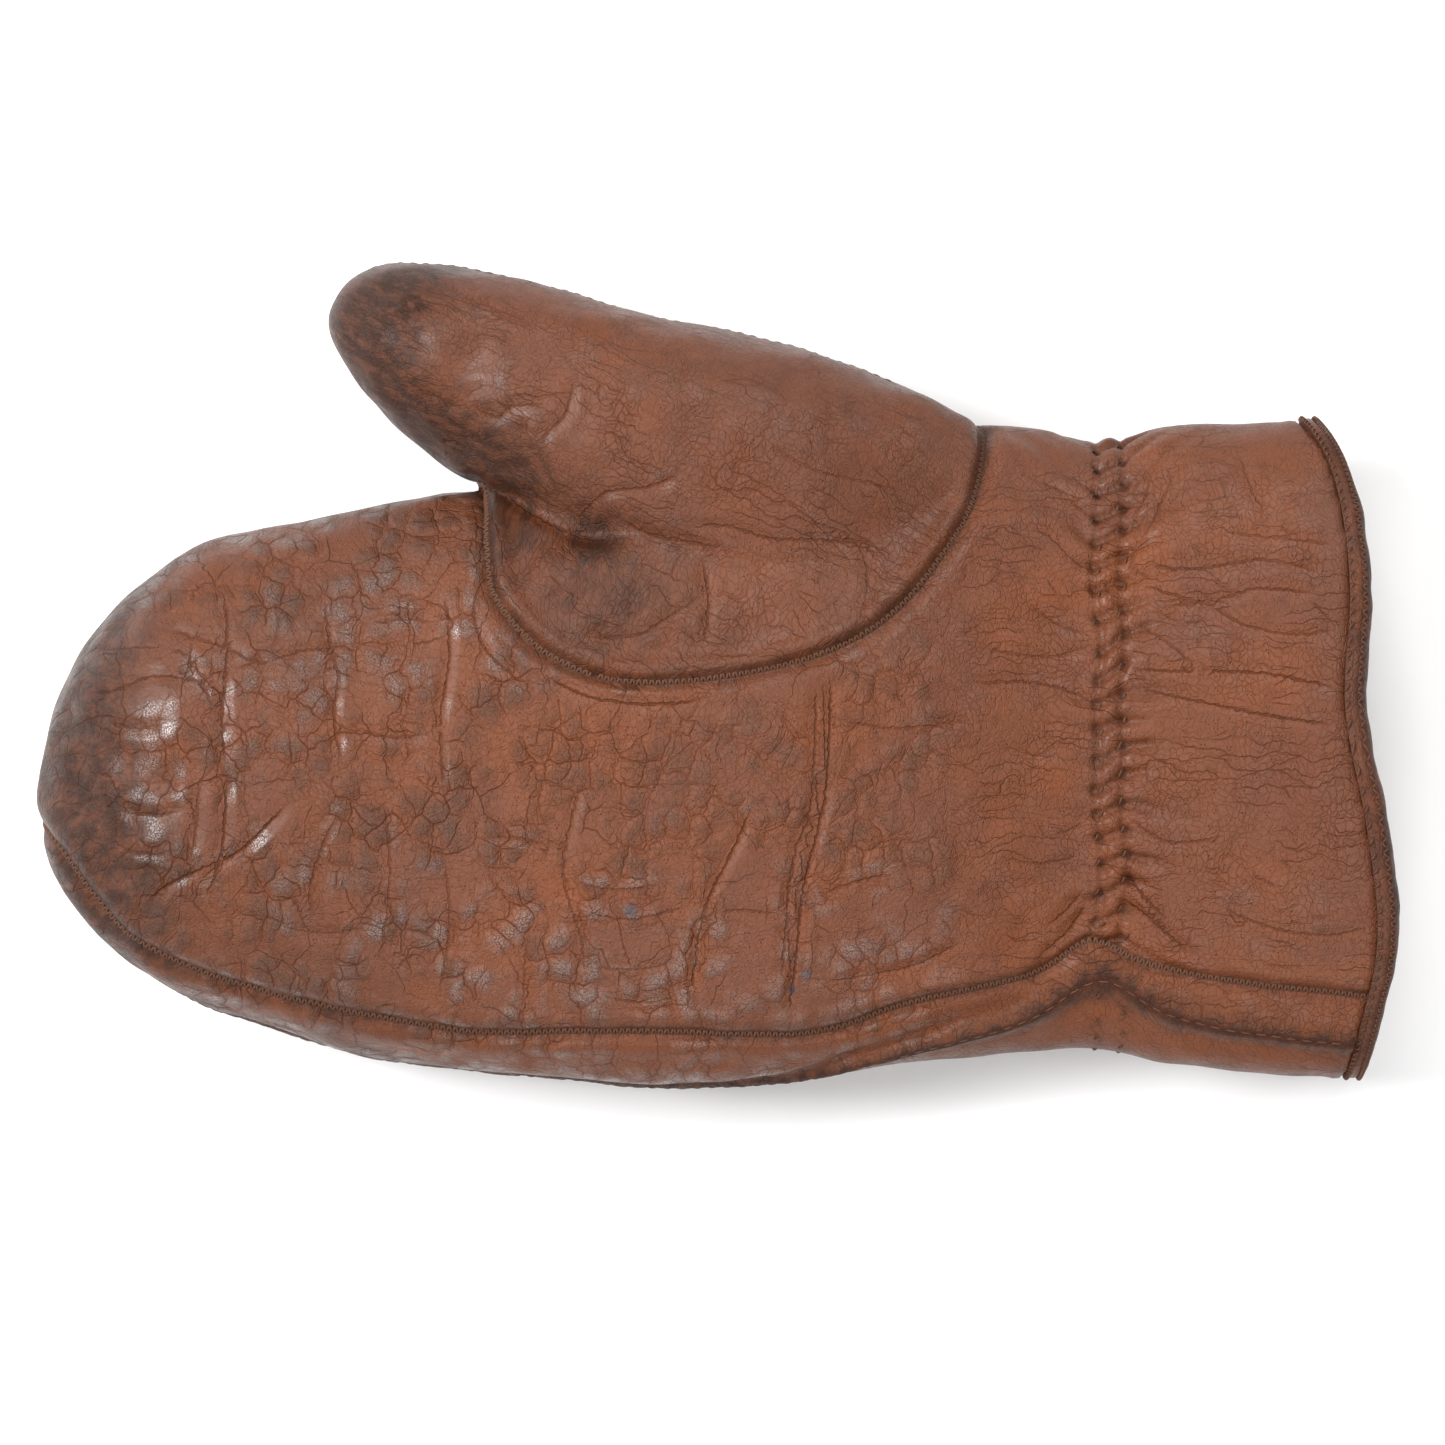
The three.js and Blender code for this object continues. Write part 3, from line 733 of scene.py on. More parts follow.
def place_on_hide(points, pouch, start):
    """How far each point is along the pouch, and how far round it from the angle start."""
    top, low, half, mid = outline(pouch, points[:, 0])
    q = (points[:, 1] - (top + low) / 2) / np.maximum((top - low) / 2, LEAST_RADIUS)
    r = (points[:, 2] - mid) / np.maximum(half, LEAST_RADIUS)
    power = ROUNDNESS / 2
    angle = np.arctan2(np.sign(r) * np.abs(r) ** power, np.sign(q) * np.abs(q) ** power)
    turned = (angle - start + math.pi) % (2 * math.pi)
    stations = np.linspace(pouch["tip"][0] + 1, pouch["end_x"], STATIONS)
    table = round_table(pouch, start, stations)
    row = np.clip((points[:, 0] - stations[0]) / (stations[1] - stations[0]), 0, len(stations) - 1.001)
    column = turned / (2 * math.pi) * (ROUND_STEPS - 1)
    i, j = row.astype(int), np.minimum(column.astype(int), ROUND_STEPS - 2)
    s, t = row - i, column - j
    around = ((table[i, j] * (1 - t) + table[i, j + 1] * t) * (1 - s)
              + (table[i + 1, j] * (1 - t) + table[i + 1, j + 1] * t) * s)
    return points[:, 0], around


def keep(piece, name, values):
    """Stores one number or one vector for each point of a piece, under a name that materials read."""
    kind = "FLOAT" if values.ndim == 1 else "FLOAT_VECTOR"
    attribute = piece.data.attributes.get(name) or piece.data.attributes.new(name, kind, "POINT")
    attribute.data.foreach_set("value" if kind == "FLOAT" else "vector", values.astype(np.float32).ravel())


PALM_MIDDLE = math.pi / 2
BACK_MIDDLE = -math.pi / 2
THUMB_CREST = 40.0
THUMB_FLAT = 14.0
points = points_of(skin)
along, around = place_on_hide(points, HAND, PALM_MIDDLE)
for name, axes, pouch, start in [
    ("hide_over", points, HAND, PALM_MIDDLE),
    ("hide_under", points, HAND, BACK_MIDDLE),
    ("hide_thumb", in_thumb(points), THUMB, PALM_MIDDLE),
]:
    u, v = place_on_hide(axes, pouch, start)
    if pouch is THUMB:
        v = axes[:, 1] + np.clip(axes[:, 1] / THUMB_FLAT, -1, 1) * (THUMB_CREST - axes[:, 2])
    keep(skin, name, np.stack([u, v, np.zeros(len(u))], axis=1))
crease = nearest_crease(points)
keep(skin, "crease", crease)

seam_fields = {
    "thumb": thumb_side(points),
    "palm": np.where((back_side(points) < 1) & (thumb_side(points) < 1), strip_side(points), FAR),
    "ridge": np.where(thumb_side(points) < 1, ridge_side(points), FAR),
    "index": np.where(thumb_side(points) < 1, index_side(points), FAR),
}
stacked = np.stack(list(seam_fields.values()))
nearest_seam = np.argmin(np.abs(stacked), axis=0)
seam = stacked[nearest_seam, np.arange(len(points))]
keep(skin, "seam", np.stack([seam, np.abs(seam), nearest_seam.astype(float)], axis=1))
print("round the wrist:", round(float(np.ptp(around[np.abs(points[:, 0] - WRIST_X) < 1])), 1), "mm")

# %% [markdown]
# Now the relief that can be seen in the outline and that catches the light. Sewing pulls both edges
# of a seam down and lets the leather beside it swell. At the wrist two rows of shirring stitches make
# a chain of small puffs with a pit at every stitch, and folds fan out from the pits. All of it is one
# height for each point, which moves the point along its normal.

# %% Relief of seams, shirring, folds and wear
GATHER = 4.6
ROW_HAND = WRIST_X - 2.0
ROW_CUFF = WRIST_X + 2.2
ROW_SHIFT = 2.6
FAN_CENTRE = -6.0
DEEPEST = -1.35


def bump(distance, width):
    return np.exp(-((distance / width) ** 2))


def waves(points, length, seed):
    """Soft unevenness between about -1 and 1, whose lumps are about length millimetres apart."""
    random = np.random.default_rng(seed)
    total = np.zeros(len(points))
    for _ in range(9):
        way = random.normal(size=3)
        way *= 2 * math.pi / (length * random.uniform(0.7, 1.6)) / np.linalg.norm(way)
        total += np.sin(points @ way + random.uniform(0, 2 * math.pi))
    return total / 3


def wander(points):
    """How far the pits of the shirring stray from even steps."""
    return 0.9 * waves(points, 17, 5)


def fold_of(phase, sharpness):
    """Goes between 0 and 1 once in each turn of phase, the more sharply the higher the number."""
    return ((1 + np.cos(phase)) / 2) ** sharpness


def shirring(points, around):
    """Relief of the two gathered rows, and how strongly each point is gathered."""
    x = points[:, 0] + 0.5 * waves(points, 22, 3)
    before, after = np.maximum(ROW_HAND - x, 0), np.maximum(x - ROW_CUFF, 0)
    reach = before + after
    fanned = FAN_CENTRE + (around - FAN_CENTRE) * (1 - 0.014 * np.minimum(reach, 20))
    phase = 2 * math.pi * (fanned + wander(points)) / GATHER
    pit_hand, pit_cuff = fold_of(phase, 2), fold_of(phase + ROW_SHIFT, 2)
    puff = 1 - fold_of(phase + ROW_SHIFT * np.clip((x - ROW_HAND) / (ROW_CUFF - ROW_HAND), 0, 1), 2)
    at_hand, at_cuff = bump(x - ROW_HAND, 0.7), bump(x - ROW_CUFF, 0.7)
    between = bump(x - (ROW_HAND + ROW_CUFF) / 2, 1.7)
    relief = 1.15 * between * puff - 0.45 * between
    relief -= at_hand * (0.45 + 0.75 * pit_hand) + at_cuff * (0.45 + 0.75 * pit_cuff)
    fold = np.where(before > 0, pit_hand, pit_cuff) ** 1.5
    uneven = np.clip(0.65 + 0.5 * waves(points, 13, 8), 0.1, 1.4)
    relief -= np.where(reach > 0, 0.95 * uneven * fold * np.exp(-reach / 5.5), 0)
    long_fold = fold_of(phase / 2 + 1, 4) * smooth_step(reach, 0, 3)
    long_fold = long_fold * np.clip(0.5 + 0.6 * waves(points, 19, 9), 0, 1.2)
    relief -= np.where(reach > 0, 0.9 * long_fold * np.exp(-reach / 13), 0)
    shade = at_hand * (0.25 + 0.6 * pit_hand) + at_cuff * (0.25 + 0.6 * pit_cuff)
    shade += 0.45 * between * (1 - puff) + 0.4 * np.where(reach > 0, fold * np.exp(-reach / 4), 0)
    shade += np.where(reach > 0, 0.35 * long_fold * np.exp(-reach / 13), 0)
    return relief, shade, np.exp(-reach / 8)


def seam_relief(field, dip, width, swell):
    """A groove where the seam is sewn down, and the swelling of the leather on both sides of it."""
    return swell * bump(np.abs(field) - 2.6, 1.5) - dip * bump(field, width)


def spot(x, y, size, stretch=1.0):
    """A soft spot on the skin, round in plan or stretched along x."""
    return bump(np.hypot((points[:, 0] - x) / stretch, points[:, 1] - y), size)


off_strip = 1 - smooth_step(strip_side(points), -1.0, 0.6) * (points[:, 1] < -30)
in_palm = smooth_step(points[:, 2], 12, 26)
gather_relief, gather_shade, gathered = shirring(points, around)
own = in_thumb(points)

to_thumb, to_palm_seam, to_ridge, to_index = seam_fields.values()
thumb_seam_sewn = 1 - smooth_step(-own[:, 0], 5, 30)
thumb_lies_higher = np.where(to_thumb < 0, -0.5, 0.5) * bump(np.abs(to_thumb) - 1.8, 1.6)
welt = 1.2 * bump(to_ridge, 0.9) - 0.3 * bump(to_ridge, 0.3) - 0.6 * bump(to_ridge - 2.4, 1.1)
crease_side, crease_distance, crease_strength = crease.T
creased = 0.16 * bump(crease_distance - 1.9, 1.0) - 0.55 * bump(crease_side, 1.0)

relief = (
    seam_relief(to_thumb, 0.9, 1.1, 0.5) * thumb_seam_sewn
    + thumb_lies_higher * in_palm
    + seam_relief(to_palm_seam, 0.75, 1.0, 0.3)
    + welt
    + seam_relief(to_index, 0.5, 0.9, 0.2)
    - 1.5 * spot(-22, 23, 2.2, stretch=2.2) * in_palm
    + gather_relief * off_strip
)
relief = np.maximum(relief, DEEPEST) + creased * crease_strength
relief += 0.34 * waves(points, 26, 11) + 0.16 * waves(points, 9, 12) * (0.4 + 0.6 * in_palm)
hem_back = hem_side(points)
under_binding = 1 - smooth_step(hem_back, HEM_WIDTH - 0.25, HEM_WIDTH + 0.25)
relief = relief * (1 - under_binding) - EDGE_BACK * under_binding
relief += 0.25 * bump(hem_back - HEM_WIDTH - 1.6, 1.0)

off_table = smooth_step(points[:, 2], 0.4, 3.0)
normals = normals_of(skin)
moved = points + normals * (relief * np.maximum(off_table, 0.25 * (relief < 0)))[:, None]
moved[:, 2] = np.maximum(moved[:, 2], 0.05)
move_points(skin, moved)
print("relief from", round(float(relief.min()), 2), "to", round(float(relief.max()), 2), "mm")

# %% [markdown]
# Handling has darkened the tips, the little-finger side is a little darker, and stretched leather shows its
# warmer, orange core. The same dark numbers also hold painted shade: on the rims that turn away from the
# light, on the thumb's side towards its fork, in the pit of the fork, in the pits and folds of the shirring
# and in the grooves of the seams. Both are kept on the skin as numbers between 0 and 1, for the material.

# %% Where the leather is dark and where it is warm


def mixed(parts):
    """Adds shares of masks and keeps the sum between 0 and 1."""
    return np.clip(sum(share * mask for share, mask in parts), 0, 1)


def patches(length, seed):
    return 0.5 + 0.5 * waves(points, length, seed)


in_thumb_piece = smooth_step(to_thumb, -1, 1)
# Painted shade on the sides of the mitten that turn away from the light above.
rim_shade = 1 - smooth_step(normals[:, 2], 0.05, 0.75)
tip = 1 - smooth_step(np.hypot(points[:, 0] + 118, (points[:, 1] + 21) / 2.4), 8, 34)
fingers = 1 - smooth_step(points[:, 0], -88, -25)
thumb_tip = (1 - smooth_step(own[:, 0], 4, 24)) * (own[:, 0] > -5) * (np.abs(own[:, 1]) < 20)
# Painted shadow on the side of the thumb that faces its fork.
crotch_side_shade = smooth_step(-own[:, 1], 0, 14) * smooth_step(own[:, 0], 4, 16)
crotch_side_shade = crotch_side_shade * (1 - smooth_step(own[:, 0], 34, 52))
on_strip = smooth_step(strip_side(points), -0.3, 1.2) * (normals[:, 2] > -0.4)
hem_rim = 1 - smooth_step(hem_back, 4, 11)
by_wrist_corner = bump(points[:, 1] + 55, 6) * smooth_step(points[:, 0], 50, 60)
dark = mixed([
    (0.75, tip),
    (0.95, thumb_tip * in_thumb_piece),
    (0.65, crotch_side_shade * in_thumb_piece),
    (0.15, on_strip),
    (0.4, rim_shade),
    (0.25, hem_rim * patches(34, 21)),
    (0.34, fingers * (0.4 + 0.6 * patches(34, 21))),
    (0.5, spot(-33, 27, 9)),
    (0.5, spot(-19, 13, 11)),
    # painted shade in the pit of the thumb's fork
    (0.9, spot(-21, 22.5, 3.6) * in_palm),
    (0.6, gather_shade * off_strip),
    # painted shade in the sewn-down grooves of the seams
    (0.55, bump(seam, 1.2)),
    (0.3, bump(to_ridge, 1.0)),
    (0.22, in_thumb_piece),
])
warm = mixed([
    (0.75, gathered * patches(15, 22)),
    (0.4, patches(22, 23)),
    (0.5, spot(-28, 60, 14)),
    (0.65, on_strip),
    (0.5, by_wrist_corner),
])
keep(skin, "dark", dark)
keep(skin, "warm", warm)
keep(skin, "cuff", smooth_step(points[:, 0], 26, 50) * (1 - in_thumb_piece))
keep(skin, "finger", 0.8 * (1 - smooth_step(points[:, 0], -45, 5)) * (1 - in_thumb_piece))
print("mean of dark", round(float(dark.mean()), 2), "and of warm", round(float(warm.mean()), 2))

# %% [markdown]
# Materials next, so that each piece can take its own as it is cut. A few short words add nodes. Two
# node groups are shared by all the leather: one makes the grain of the hide, its pebbles, creases,
# fine net and the pores of pigskin in threes, and the other paints the hide from the grain and from
# the numbers kept on the skin. Threads, pile and elastic have materials of their own.

# %% Words for nodes


def node(tree, kind, inputs=None, **settings):
    """Adds a node, sets its settings, and sets or links its inputs."""
    made = tree.nodes.new(kind)
    for name, value in settings.items():
        setattr(made, name, value)
    for name, value in (inputs or {}).items():
        if isinstance(value, bpy.types.NodeSocket):
            tree.links.new(value, made.inputs[name])
        else:
            made.inputs[name].default_value = value
    return made


def maths(tree, operation, *values, clamp=False):
    inputs = dict(enumerate(values))
    return node(tree, "ShaderNodeMath", inputs, operation=operation, use_clamp=clamp).outputs[0]


def fade(tree, value, start, end, low=0.0, high=1.0):
    """Goes smoothly from low at start to high at end."""
    inputs = {"Value": value, "From Min": start, "From Max": end, "To Min": low, "To Max": high}
    return node(tree, "ShaderNodeMapRange", inputs, interpolation_type="SMOOTHSTEP").outputs["Result"]


def blend_colour(tree, share, colour, other):
    mixer = node(tree, "ShaderNodeMix", data_type="RGBA", clamp_factor=True)
    for index, value in ((0, share), (6, colour), (7, other)):
        if isinstance(value, bpy.types.NodeSocket):
            tree.links.new(value, mixer.inputs[index])
        else:
            mixer.inputs[index].default_value = value if index == 0 else (*value, 1)
    return mixer.outputs[2]


def vector(tree, operation, *values, output="Vector"):
    inputs = dict(enumerate(values))
    if operation == "SCALE":
        inputs = {0: values[0], "Scale": values[1]}
    return node(tree, "ShaderNodeVectorMath", inputs, operation=operation).outputs[output]


def noise(tree, place, scale, detail=2.0, roughness=0.5, dimensions="2D"):
    inputs = {"Vector": place, "Scale": scale, "Detail": detail, "Roughness": roughness}
    return node(tree, "ShaderNodeTexNoise", inputs, noise_dimensions=dimensions)


def cells(tree, place, feature="DISTANCE_TO_EDGE", randomness=0.9):
    inputs = {"Vector": place, "Scale": 1.0, "Randomness": randomness}
    return node(tree, "ShaderNodeTexVoronoi", inputs, feature=feature, voronoi_dimensions="2D")


def new_group(name, inputs, outputs):
    """An empty shader group with its input and output nodes."""
    tree = bpy.data.node_groups.new(name, "ShaderNodeTree")
    for kind, sockets in (("INPUT", inputs), ("OUTPUT", outputs)):
        for label, socket_type in sockets:
            tree.interface.new_socket(name=label, in_out=kind, socket_type=socket_type)
    return tree, tree.nodes.new("NodeGroupInput").outputs, tree.nodes.new("NodeGroupOutput").inputs


FLOAT, VECTOR, COLOUR = "NodeSocketFloat", "NodeSocketVector", "NodeSocketColor"
print("a group's sockets are", FLOAT, VECTOR, COLOUR)

# %% The grain of pigskin
PORE_SPACING = 2.3
PORE_REACH = 0.36
PORE_TURNS = (90, 210, 330)


def make_grain():
    """Height in millimetres, and masks of creases, pores and pebbles, from the place on the hide."""
    tree, given, result = new_group(
        "pigskin_grain",
        [("Place", VECTOR), ("Pebbles", FLOAT), ("Long Creases", FLOAT)],
        [("Height", FLOAT), ("Lines", FLOAT), ("Pores", FLOAT), ("Tops", FLOAT)],
    )
    place = given["Place"]
    drift = vector(tree, "SUBTRACT", noise(tree, place, 0.16, 3).outputs["Color"], (0.5, 0.5, 0.5))
    bent = vector(tree, "ADD", place, vector(tree, "SCALE", drift, 4.5))
    pebble_place = vector(tree, "MULTIPLY", bent, (0.25, 0.21, 0))
    pebble_edge = cells(tree, pebble_place, randomness=0.8).outputs["Distance"]
    pebble_heart = cells(tree, pebble_place, "F1", 0.8).outputs["Distance"]
    long_edge = cells(tree, vector(tree, "MULTIPLY", bent, (0.07, 0.40, 0))).outputs["Distance"]
    wide_edge = cells(tree, vector(tree, "MULTIPLY", bent, (0.13, 0.10, 0))).outputs["Distance"]
    net_edge = cells(tree, vector(tree, "MULTIPLY", bent, (0.85, 0.75, 0))).outputs["Distance"]
    uneven = noise(tree, place, 0.10, 3).outputs["Fac"]
    clustered = fade(tree, uneven, 0.40, 0.62)
    shifted = noise(tree, vector(tree, "ADD", place, (91, 37, 0)), 0.09, 3).outputs["Fac"]
    deep_long = fade(tree, shifted, 0.42, 0.62)
    deep_wide = fade(tree, shifted, 0.62, 0.40)

    pebble_line = maths(tree, "MULTIPLY", fade(tree, pebble_edge, 0.0, 0.05, 1, 0), clustered)
    pebble_line = maths(tree, "MULTIPLY", pebble_line, given["Pebbles"])
    long_line = maths(tree, "MULTIPLY", fade(tree, long_edge, 0.0, 0.045, 1, 0), deep_long)
    long_line = maths(tree, "MULTIPLY", long_line, given["Long Creases"])
    wide_line = maths(tree, "MULTIPLY", fade(tree, wide_edge, 0.0, 0.024, 1, 0), deep_wide)
    wide_line = maths(tree, "MULTIPLY", wide_line, given["Pebbles"])
    net_line = maths(tree, "MULTIPLY", fade(tree, net_edge, 0.0, 0.14, 1, 0), uneven)
    dome = fade(tree, pebble_heart, 0.15, 0.62, 1, 0)
    tops = maths(tree, "MULTIPLY", dome, given["Pebbles"])
    tops = maths(tree, "MULTIPLY", tops, fade(tree, uneven, 0.34, 0.60))

    pore_place = vector(tree, "SCALE", place, 1 / PORE_SPACING)
    pore_cell = cells(tree, pore_place, "F1", 0.6).outputs["Position"]
    local = vector(tree, "SCALE", vector(tree, "SUBTRACT", pore_place, pore_cell), PORE_SPACING)
    nearest = 9.0
    for turn in map(math.radians, PORE_TURNS):
        pore = (PORE_REACH * math.cos(turn), PORE_REACH * math.sin(turn), 0)
        nearest = maths(tree, "MINIMUM", nearest, vector(tree, "DISTANCE", local, pore, output="Value"))
    shown = fade(tree, noise(tree, place, 0.45, 1).outputs["Fac"], 0.42, 0.56)
    pores = maths(tree, "MULTIPLY", fade(tree, nearest, 0.07, 0.16, 1, 0), shown)

    fine = noise(tree, place, 1.5, 5, 0.7).outputs["Fac"]
    speckle = noise(tree, place, 3.2, 3, 0.6).outputs["Fac"]
    height = maths(tree, "MULTIPLY", tops, 0.34)
    height = maths(tree, "MULTIPLY_ADD", maths(tree, "MULTIPLY", speckle, tops), 0.34, height)
    cuts = ((pebble_line, -0.12), (long_line, -0.15), (wide_line, -0.12), (net_line, -0.15), (pores, -0.09))
    for mask, rise in (*cuts, (fine, 0.20)):
        height = maths(tree, "MULTIPLY_ADD", mask, rise, height)
    lines = maths(tree, "MULTIPLY", maths(tree, "MAXIMUM", pebble_line, long_line), 0.5)
    lines = maths(tree, "MAXIMUM", lines, maths(tree, "MULTIPLY", wide_line, 0.6))
    lines = maths(tree, "MAXIMUM", lines, maths(tree, "MULTIPLY", net_line, 0.50))
    for label, value in (("Height", height), ("Lines", lines), ("Pores", pores), ("Tops", tops)):
        tree.links.new(value, result[label])
    return tree


GRAIN = make_grain()
print("grain group has", len(GRAIN.nodes), "nodes")

# %% The colours of the hide
TAN = (0.120, 0.038, 0.017)
WORN_TAN = (0.112, 0.046, 0.026)
ORANGE = (0.165, 0.045, 0.013)
DARK_BROWN = (0.024, 0.0085, 0.004)
CREASE_BROWN_AND_SHADE = (0.048, 0.012, 0.004)
PORE_BROWN = (0.045, 0.019, 0.012)


def make_paint():
    """Colour and roughness of the leather from the grain's masks, from wear and painted shade, and from
    warmth.
    """
    tree, given, result = new_group(
        "pigskin_paint",
        [("Place", VECTOR)] + [(label, FLOAT) for label in ("Lines", "Pores", "Tops", "Dark", "Warm")],
        [("Color", COLOUR), ("Roughness", FLOAT)],
    )
    place = given["Place"]
    broad = noise(tree, place, 0.045, 3, 0.6).outputs["Fac"]
    mottle = noise(tree, place, 0.33, 5, 0.62).outputs["Fac"]
    fibres = noise(tree, vector(tree, "MULTIPLY", place, (1.0, 0.35, 1)), 1.6, 3, 0.6).outputs["Fac"]
    colour = blend_colour(tree, maths(tree, "MULTIPLY", given["Tops"], 0.75), TAN, WORN_TAN)
    warmth = maths(tree, "MULTIPLY", given["Warm"], 0.8)
    warmth = maths(tree, "MULTIPLY_ADD", fade(tree, broad, 0.42, 0.68), 0.45, warmth)
    colour = blend_colour(tree, warmth, colour, ORANGE)
    blotch = maths(tree, "MULTIPLY_ADD", fade(tree, mottle, 0.30, 0.72), 0.7, 0.6)
    darkness = maths(tree, "MULTIPLY", given["Dark"], blotch, clamp=True)
    smudge = maths(tree, "MULTIPLY", fade(tree, mottle, 0.52, 0.80), 0.28)
    darkness = maths(tree, "MAXIMUM", maths(tree, "MULTIPLY", darkness, 0.92), smudge)
    # The dark numbers hold both wear and painted shade, and both are painted dark brown here.
    colour = blend_colour(tree, darkness, colour, DARK_BROWN)
    worn = maths(tree, "MULTIPLY", fade(tree, fibres, 0.45, 0.75), 0.16)
    colour = blend_colour(tree, worn, colour, WORN_TAN)
    # The crease colour is partly the leather's own darker colour in its creases and partly painted shade.
    colour = blend_colour(tree, maths(tree, "MULTIPLY", given["Lines"], 0.72), colour, CREASE_BROWN_AND_SHADE)
    colour = blend_colour(tree, maths(tree, "MULTIPLY", given["Pores"], 0.75), colour, PORE_BROWN)
    rough = maths(tree, "MULTIPLY_ADD", mottle, 0.22, 0.27)
    rough = maths(tree, "MULTIPLY_ADD", given["Lines"], 0.22, rough)
    rough = maths(tree, "MULTIPLY_ADD", given["Warm"], 0.08, rough)
    tree.links.new(colour, result["Color"])
    tree.links.new(rough, result["Roughness"])
    return tree


PAINT = make_paint()
print("paint group has", len(PAINT.nodes), "nodes")

# %% Leather for each panel
INK_SPOTS = [((-14.7, -40.0), 1.9), ((14.7, -50.9), 1.4), ((12.7, -53.5), 1.2)]
INK = (0.030, 0.036, 0.046)
MILLIMETRE = 0.001


def new_material(name):
    material = bpy.data.materials.new(name)
    material.use_nodes = True
    tree = material.node_tree
    return material, tree, tree.nodes["Principled BSDF"]


def finish(tree, shader, colour, roughness, height=None, strength=1.0, distance=0.0):
    """Gives a shader its colour and roughness, and its bump where there is a height."""
    tree.links.new(colour, shader.inputs["Base Color"])
    if isinstance(roughness, bpy.types.NodeSocket):
        tree.links.new(roughness, shader.inputs["Roughness"])
    else:
        shader.inputs["Roughness"].default_value = roughness
    if height is not None:
        inputs = {"Height": height, "Strength": strength, "Distance": distance}
        relief_node = node(tree, "ShaderNodeBump", inputs)
        tree.links.new(relief_node.outputs["Normal"], shader.inputs["Normal"])


def kept(tree, name, output="Vector"):
    """What the skin keeps under a name."""
    return node(tree, "ShaderNodeAttribute", attribute_name=name).outputs[output]


def object_place(tree):
    return node(tree, "ShaderNodeTexCoord").outputs["Object"]


def crease_marks(tree, place):
    """From what the skin keeps: the lines of creases, the glow beside them, and the lines of seams. The paint
    darkens the crease lines partly in the leather's own crease colour and partly with painted shade, and the
    seam lines with painted shade.
    """
    stroke = node(tree, "ShaderNodeSeparateXYZ", {0: kept(tree, "crease")}).outputs
    wobble = maths(tree, "MULTIPLY_ADD", noise(tree, place, 0.9, 3).outputs["Fac"], 0.9, -0.45)
    off = maths(tree, "ABSOLUTE", maths(tree, "ADD", stroke["X"], wobble))
    near = maths(tree, "MULTIPLY", fade(tree, stroke["Y"], 0.9, 1.5, 1, 0), stroke["Z"])
    line = maths(tree, "MULTIPLY", fade(tree, off, 0.06, 0.30, 1, 0), near)
    glow = maths(tree, "MULTIPLY", fade(tree, stroke["Y"], 0.2, 1.8, 0.7, 0), stroke["Z"])
    beside_seam = node(tree, "ShaderNodeSeparateXYZ", {0: kept(tree, "seam")}).outputs["X"]
    join = fade(tree, maths(tree, "ABSOLUTE", beside_seam), 0.15, 0.55, 1, 0)
    return line, glow, join


def blot(tree, colour):
    """Paints the small old spots of ink over a colour."""
    to_pattern = (1 / SCALE[0], 1 / SCALE[1], 0)
    place = vector(tree, "MULTIPLY", object_place(tree), to_pattern)
    blur = maths(tree, "MULTIPLY", noise(tree, place, 1.1, 4, 0.7).outputs["Fac"], 2.4)
    for (x, y), size in INK_SPOTS:
        away = vector(tree, "DISTANCE", place, (x, y, 0), output="Value")
        share = fade(tree, maths(tree, "ADD", away, blur), 0.9, size + 1.4, 0.85, 0)
        colour = blend_colour(tree, share, colour, INK)
    return colour


def polish(tree, place, tops, lines, dark):
    """Weight of the clear polish: most on the worn pebbles, least in creases and where it is dark."""
    flecks = fade(tree, noise(tree, place, 3.4, 2).outputs["Fac"], 0.44, 0.60, 0.15, 1.0)
    weight = maths(tree, "MULTIPLY_ADD", maths(tree, "MULTIPLY", tops, flecks), 0.95, 0.09)
    weight = maths(tree, "MULTIPLY", weight, fade(tree, lines, 0.0, 0.5, 1, 0.2))
    return maths(tree, "MULTIPLY", weight, fade(tree, dark, 0.2, 0.9, 1, 0.25))


def leather(name, hide, pebbles=1.0, wrinkles=0.35, inked=False, edge=False):
    """Pigskin whose grain follows the place on the hide that is kept under the name hide."""
    material, tree, shader = new_material(name)
    place, cuff = kept(tree, hide), kept(tree, "cuff", "Fac")
    dark, warm = kept(tree, "dark", "Fac"), kept(tree, "warm", "Fac")
    pebbly = maths(tree, "MULTIPLY", fade(tree, cuff, 0.0, 1.0, 1.0, 0.25), pebbles)
    rougher = maths(tree, "MULTIPLY_ADD", kept(tree, "finger", "Fac"), 0.5, 1.0)
    pebbly = maths(tree, "MULTIPLY", pebbly, rougher)
    long_creases = fade(tree, cuff, 0.0, 1.0, wrinkles, 1.0)
    wanted = {"Place": place, "Pebbles": pebbly, "Long Creases": long_creases}
    grain = node(tree, "ShaderNodeGroup", wanted, node_tree=GRAIN).outputs
    height, lines = grain["Height"], grain["Lines"]
    if not edge:
        line, glow, join = crease_marks(tree, place)
        warm = maths(tree, "MAXIMUM", warm, maths(tree, "MULTIPLY", lines, 0.5))
        warm = maths(tree, "MAXIMUM", warm, glow)
        lines = maths(tree, "MAXIMUM", maths(tree, "MAXIMUM", lines, line), join)
        height = maths(tree, "MULTIPLY_ADD", line, -0.30, height)
    wanted = {"Place": place, "Lines": lines, "Pores": grain["Pores"], "Tops": grain["Tops"],
              "Dark": dark, "Warm": warm}
    paint = node(tree, "ShaderNodeGroup", wanted, node_tree=PAINT).outputs
    colour = blot(tree, paint["Color"]) if inked else paint["Color"]
    finish(tree, shader, colour, paint["Roughness"], height, 1.0, MILLIMETRE)
    tree.links.new(polish(tree, place, grain["Tops"], lines, dark), shader.inputs["Coat Weight"])
    shader.inputs["Coat Roughness"].default_value = 0.27
    shader.inputs["Specular IOR Level"].default_value = 0.22
    return material


